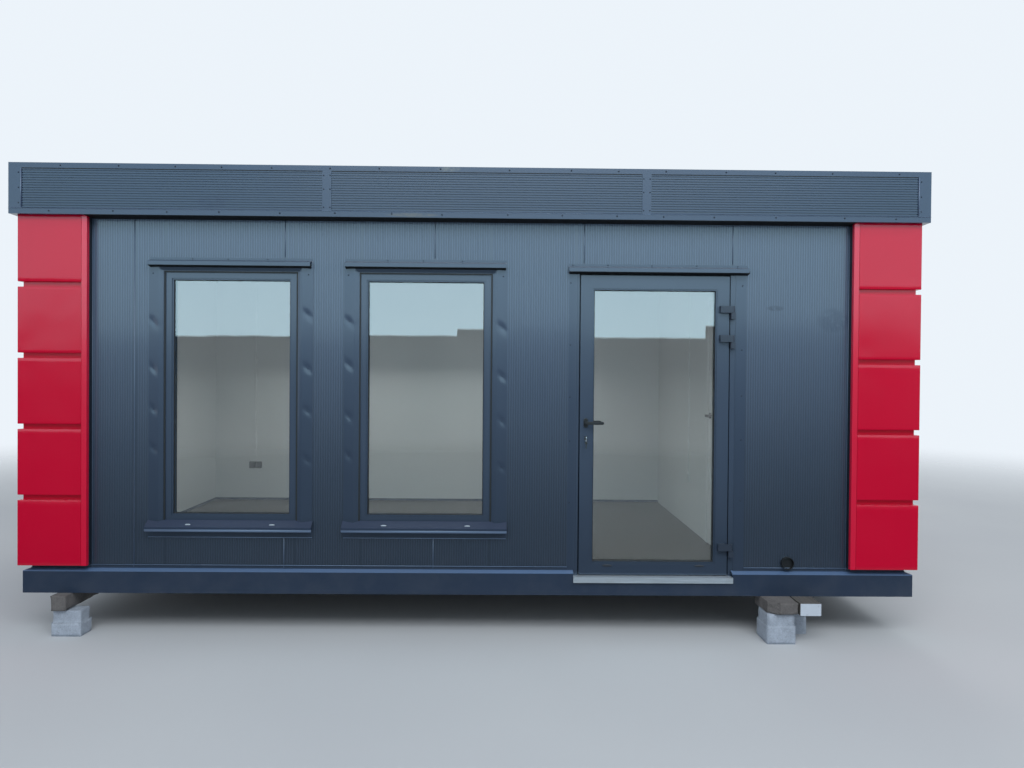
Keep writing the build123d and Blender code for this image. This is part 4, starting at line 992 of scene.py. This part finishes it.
def cap_folds():
    """Folds down the inner edges of the fascia's corner caps, in a paler paint that paints their
    highlight.
    """
    bm = bmesh.new()
    for side, end in CORNERS:
        edge_bead(bm, 0, end * (CAP_HIGH[0] - 0.0825), side * CAP_HIGH[1], side, 2.842, 3.096, 0.0035)
    piece("cap_folds", bm, fold_highlight_paint, "cabin", smooth=True)


painted_cap_shadows()
sill_hems()
cap_folds()


# black seals between the frames and their panes, and black strips behind the frames that paint the
# shadow in the gap

# what a window frame shows of its profile, and what the door leaf covers of its pane
FRAME_FACE, LEAF_BITE = 0.0475, 0.010


def gasket(name, x, z, width, height, front, body):
    """A small black wedge seal where the reveal meets the pane. front is the frame's face."""
    bm = bmesh.new()
    wedge = ((0.0, 0.0198), (0.0, 0.0152), (-0.0020, 0.0150), (-0.0048, 0.0184), (-0.0048, 0.0198))
    add_frame(bm, x, z, width, height, [(out, front + deep) for out, deep in wedge])
    piece(name, bm, rubber_and_shadow, body)


def painted_gap_shadows():
    """A black strip that paints the shadow in the gap between each window frame and its surround."""
    bm = bmesh.new()
    gap_shadow_profile = ((0.0005, 0.004), (0.0005, -0.0020), (0.0100, -0.0020), (0.0100, 0.001))
    for x in WINDOWS:
        add_frame(bm, x, WIN_MID, WIN_W, WIN_H, [(out, WALL_Y + deep) for out, deep in gap_shadow_profile])
    piece("painted_gap_shadows", bm, rubber_and_shadow, "cabin")


def gaskets():
    """Wedge seals round both window panes and the pane of the door."""
    width, height = WIN_W - 2 * FRAME_FACE, WIN_H - 2 * FRAME_FACE
    for k, x in enumerate(WINDOWS):
        gasket("window_gasket_%d" % (k + 1), x, WIN_MID, width, height, WALL_Y + 0.005, "cabin")
    low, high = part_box("door_pane")
    width, height = high[0] - low[0] - 2 * LEAF_BITE, high[2] - low[2] - 2 * LEAF_BITE
    gasket("door_gasket", (low[0] + high[0]) / 2, (low[2] + high[2]) / 2, width, height, LEAF_LOW[1],
           "entrance_door")


painted_gap_shadows()
gaskets()


# drain caps, sill vents and keys

KEY_HALF_T = 0.0011


def drain_caps():
    """Oval caps over the drain slots of the door leaf and of the sills."""
    bm = bmesh.new()
    for x in (0.927, 1.557):
        add_dome(bm, (x, LEAF_LOW[1], LEAF_LOW[2] + 0.062), (0.034, 0.0075), 0.0035)
    piece("door_drain_caps", bm, cap_plastic, "entrance_door", smooth=True)
    bm = bmesh.new()
    for x in WINDOWS:
        for offset in (-0.273, 0.291):
            add_dome(bm, (x + offset, WALL_Y - 0.0335, BASE_Z + 0.462), (0.019, 0.0055), 0.0040)
    piece("sill_vents", bm, pale_vent, "cabin", smooth=True)


def key_bow(bm, x, y, z, across, half):
    """The oval bow of a key, along y where it sticks out of the lock, along x where it hangs."""
    loops = []
    for t in (-KEY_HALF_T, KEY_HALF_T):
        loop = []
        for c, s in around(14):
            u = half[0] * c
            step = (t, u) if across == "y" else (u, t)
            loop.append(bm.verts.new((x + step[0], y + step[1], z + half[1] * s)))
        loops.append(loop)
    bridge(bm, loops)
    for loop in loops:
        bm.faces.new(loop)


def key_ring(bm, x, y, z):
    """A thin wire ring that stands in the plane across x."""
    loops = []
    for up, back in around(16):
        middle = Vector((x, y + 0.0085 * back, z + 0.0115 * up))
        outward = Vector((0, back, up))
        points = [middle + 0.0008 * (outward * c + Vector((s, 0, 0))) for c, s in around(6)]
        loops.append([bm.verts.new(p) for p in points])
    bridge(bm, loops, closed=True)


def lock_keys():
    """One key in the lock, and its twin that hangs from it on a ring."""
    bm = bmesh.new()
    low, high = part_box("door_lock")
    x, z, face = (low[0] + high[0]) / 2, (low[2] + high[2]) / 2 + 0.004, low[1]
    hang = face - 0.024
    left, right = x - KEY_HALF_T, x + KEY_HALF_T
    add_bar(bm, 1, face - 0.014, face + 0.001, (left, z - 0.004), (right, z + 0.004))
    key_bow(bm, x, face - 0.022, z, "y", (0.0115, 0.0125))
    key_bow(bm, x, hang, z - 0.032, "x", (0.0105, 0.0110))
    add_bar(bm, 2, z - 0.072, z - 0.040, (x - 0.0035, hang - 0.001), (x + 0.0035, hang + 0.001))
    key_ring(bm, x, hang, z - 0.014)
    piece("lock_keys", bm, lock_chrome, "entrance_door")


drain_caps()
lock_keys()


# rough stone supports


def island_boxes(bm):
    """Low and high on each axis of every loose part of a mesh."""
    boxes = []
    seen = set()
    for v in bm.verts:
        if v in seen:
            continue
        group, queue = [], [v]
        seen.add(v)
        while queue:
            a = queue.pop()
            group.append(a.co)
            for e in a.link_edges:
                b = e.other_vert(a)
                if b not in seen:
                    seen.add(b)
                    queue.append(b)
        boxes.append([(min(co[i] for co in group), max(co[i] for co in group)) for i in range(3)])
    return boxes


def rough_stone(name, pitch, rise, seed, scale):
    """Break up a block's faces and edges, inside its own shape and with its top and foot level."""
    bm = solid_copy(name)
    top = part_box(name)[1][2]
    boxes = island_boxes(bm)
    for axis in range(3):
        marks = set()
        for low, high in (box[axis] for box in boxes):
            count = int((high - low) / pitch)
            marks |= {round(low + k * pitch, 4) for k in range(1, count + 1)}
        slice_at(bm, axis, sorted(marks))
    bmesh.ops.triangulate(bm, faces=[f for f in bm.faces if len(f.verts) > 4])
    bm.normal_update()
    for v in bm.verts:
        chips = noise.fractal(v.co * scale + Vector((seed, 0, 0)), 0.8, 2.1, 4)
        on_edge = len({tuple(round(c, 1) for c in f.normal) for f in v.link_faces}) > 1
        push = rise * (2.4 if on_edge else 1.0) * (0.55 + 0.45 * chips)
        move = -v.normal * max(0.0, push)
        if v.co.z < 0.004 or v.co.z > top - 0.004:
            move.z = 0.0
        v.co += move
    stand_in(name, bm, 60)


rough_stone("support_blocks", 0.018, 0.0035, 3.0, 22.0)
rough_stone("support_packers", 0.015, 0.0055, 8.0, 16.0)


# camera, light and floor

EYE = (0.2223, -6.2133, 1.7463)
YAW, PITCH, ROLL = (math.radians(a) for a in (-0.581, -0.565, 0.460))
LENS = 24.61


def look_camera():
    """The photograph's camera, a little over eye level with a slight roll."""
    level = Vector((math.cos(YAW), math.sin(YAW), 0))
    ahead = Vector((-level.y, level.x, 0)) * math.cos(PITCH) + Vector((0, 0, math.sin(PITCH)))
    upright = level.cross(ahead)
    across = level * math.cos(ROLL) + upright * math.sin(ROLL)
    upward = upright * math.cos(ROLL) - level * math.sin(ROLL)
    data = bpy.data.cameras.new("camera")
    data.sensor_width = 36.0
    data.lens = LENS
    data.clip_start = 0.05
    data.clip_end = 200.0
    cam = bpy.data.objects.new("camera", data)
    turn = Matrix((across, upward, -ahead)).transposed().to_4x4()
    cam.matrix_world = Matrix.Translation(EYE) @ turn
    bpy.context.scene.collection.objects.link(cam)
    bpy.context.scene.camera = cam


def area_light(name, at, aim, size, power, color):
    """A rectangular lamp that faces a point."""
    data = bpy.data.lights.new(name, "AREA")
    data.shape = "RECTANGLE"
    data.size, data.size_y = size
    data.energy = power
    data.color = color
    lamp = bpy.data.objects.new(name, data)
    lamp.location = at
    lamp.rotation_mode = "QUATERNION"
    lamp.rotation_quaternion = (Vector(aim) - Vector(at)).to_track_quat("-Z", "Y")
    bpy.context.scene.collection.objects.link(lamp)
    return lamp


def hide_from(obj, *rays):
    """Leave an object out of what some kinds of ray see."""
    for ray in rays:
        setattr(obj, "visible_" + ray, False)


def room_lights():
    """Soft lamps inside both rooms, not seen themselves."""
    for x, width in ((-0.6, 3.6), (2.45, 0.7)):
        lamp = area_light("room_light", (x, 0.1, 1.85), (x, 0.1, 0.4), (width, 2.0), 6.1 * width,
                          (1.0, 1.0, 0.98))
        hide_from(lamp, "camera", "glossy", "transmission")


def world_light():
    """Soft even sky, pale where the camera, metal and glass see it."""
    world = bpy.data.worlds.new("sky")
    sky = Nodes(world)
    sky.tree.nodes.clear()
    even = sky.node("ShaderNodeBackground", {"Color": (0.86, 0.93, 1.0, 1), "Strength": 0.55})
    pale = sky.node("ShaderNodeBackground", {"Color": (0.84, 0.90, 0.96, 1), "Strength": 1.0})
    rays = sky.node("ShaderNodeLightPath").outputs
    seen = sky.math("MAXIMUM", rays["Is Camera Ray"], rays["Is Glossy Ray"])
    seen = sky.math("MAXIMUM", seen, rays["Is Transmission Ray"])
    both = sky.node("ShaderNodeMixShader", {0: seen, 1: even.outputs[0], 2: pale.outputs[0]})
    sky.node("ShaderNodeOutputWorld", {"Surface": both.outputs[0]})
    bpy.context.scene.world = world


def flat_stage(name, low, high, material):
    """A flat sheet of the studio between two corners, lying or standing."""
    bm = bmesh.new()
    flat = [i for i in range(3) if low[i] == high[i]][0]
    a, b = [i for i in range(3) if i != flat]
    corners = []
    for s, t in ((0, 0), (1, 0), (1, 1), (0, 1)):
        co = list(low)
        co[a] = (low, high)[s][a]
        co[b] = (low, high)[t][b]
        corners.append(bm.verts.new(co))
    bm.faces.new(corners)
    obj = new_object(name, bm, material)
    return obj


def mirror_card(name, low, high, material):
    """A sheet of the studio that is seen in nothing but the sheen of paint and glass."""
    card = flat_stage(name, low, high, material)
    hide_from(card, "camera", "shadow", "diffuse", "transmission")


def yard_card():
    """Grey card behind the camera, with a low uneven skyline, which gloss and glass mirror."""
    s = Shader("yard_card")
    place = s.math("DIVIDE", s.math("ADD", s.axis("X"), 0.9), 2.9)
    tone = s.random(s.math("FLOOR", place))
    walls = s.mix(tone, srgb(40, 43, 41), srgb(74, 62, 52))
    dark = s.patches(0.5, 3.0, walls, srgb(38, 41, 40))
    s.set(Base_Color=s.mix(s.range(s.axis("Z"), 0.1, 0.9), srgb(58, 62, 62), dark))
    s.set(Roughness=0.95, Specular_IOR_Level=0.0)
    uneven = s.range(s.noise(2.2, 5.0), 0.3, 0.7, -0.008, 0.008)
    skyline = s.math("ADD", s.range(tone, 0.0, 1.0, 2.62, 3.02), uneven)
    s.melt(s.range(s.math("SUBTRACT", s.axis("Z"), skyline), -0.02, 0.03))
    mirror_card("yard_card", (-15, -13, 0), (15, -13, 4.0), s.mat)


def yard_ground():
    """Dark ground in front of the cabin, which gloss and glass mirror."""
    s = Shader("yard_ground")
    grain = s.patches(1.2, 5.0, srgb(46, 51, 53), srgb(66, 72, 74))
    s.set(Base_Color=s.mix(s.range(s.axis("Y"), -12.0, -7.5, 1.0, 0.0), grain, srgb(54, 59, 62)))
    s.set(Roughness=0.95, Specular_IOR_Level=0.0)
    s.melt(s.range(s.axis("Y"), -2.6, -1.9, smooth=True))
    mirror_card("yard_ground", (-15, -13, 0.03), (15, -1.8, 0.03), s.mat)


def sky_card():
    """Pale blue soft box high behind the camera, for the sheen of paint and glass alone."""
    s = Shader("sky_card")
    blue = s.mix(s.range(s.axis("Z"), 2.5, 9.0), (0.60, 0.87, 1.0, 1), (0.50, 0.80, 1.0, 1))
    glow = s.node("ShaderNodeEmission", {"Color": blue, "Strength": 2.5})
    s.melt(s.range(s.axis("Z"), 8.0, 12.0, smooth=True), glow.outputs[0])
    mirror_card("sky_card", (-16, -13.4, 1.5), (16, -13.4, 12.0), s.mat)


def studio_floor():
    """Plain pale studio floor under the support blocks, which melts into the backdrop far out."""
    s = Shader("studio_floor")
    s.set(Base_Color=s.patches(0.4, 2.0, srgb(196, 199, 203), srgb(202, 205, 208)))
    s.set(Roughness=0.9)
    away = s.node("ShaderNodeVectorMath", {0: s.place}, operation="LENGTH")
    s.melt(s.range(away.outputs["Value"], 6.5, 17.0, smooth=True))
    flat_stage("studio_floor", (-18, -18, 0), (18, 18, 0), s.mat)


look_camera()
world_light()
area_light("sky_front", (1.0, -8.0, 8.5), (0, 0, 1.8), (10, 5), 600, (0.93, 0.97, 1.0))
area_light("sky_back", (2.5, 9.0, 7.0), (0, 0, 1.5), (8, 5), 260, (1.0, 0.98, 0.95))
room_lights()
yard_card()
yard_ground()
sky_card()
studio_floor()

bpy.context.scene.view_settings.view_transform = "Standard"
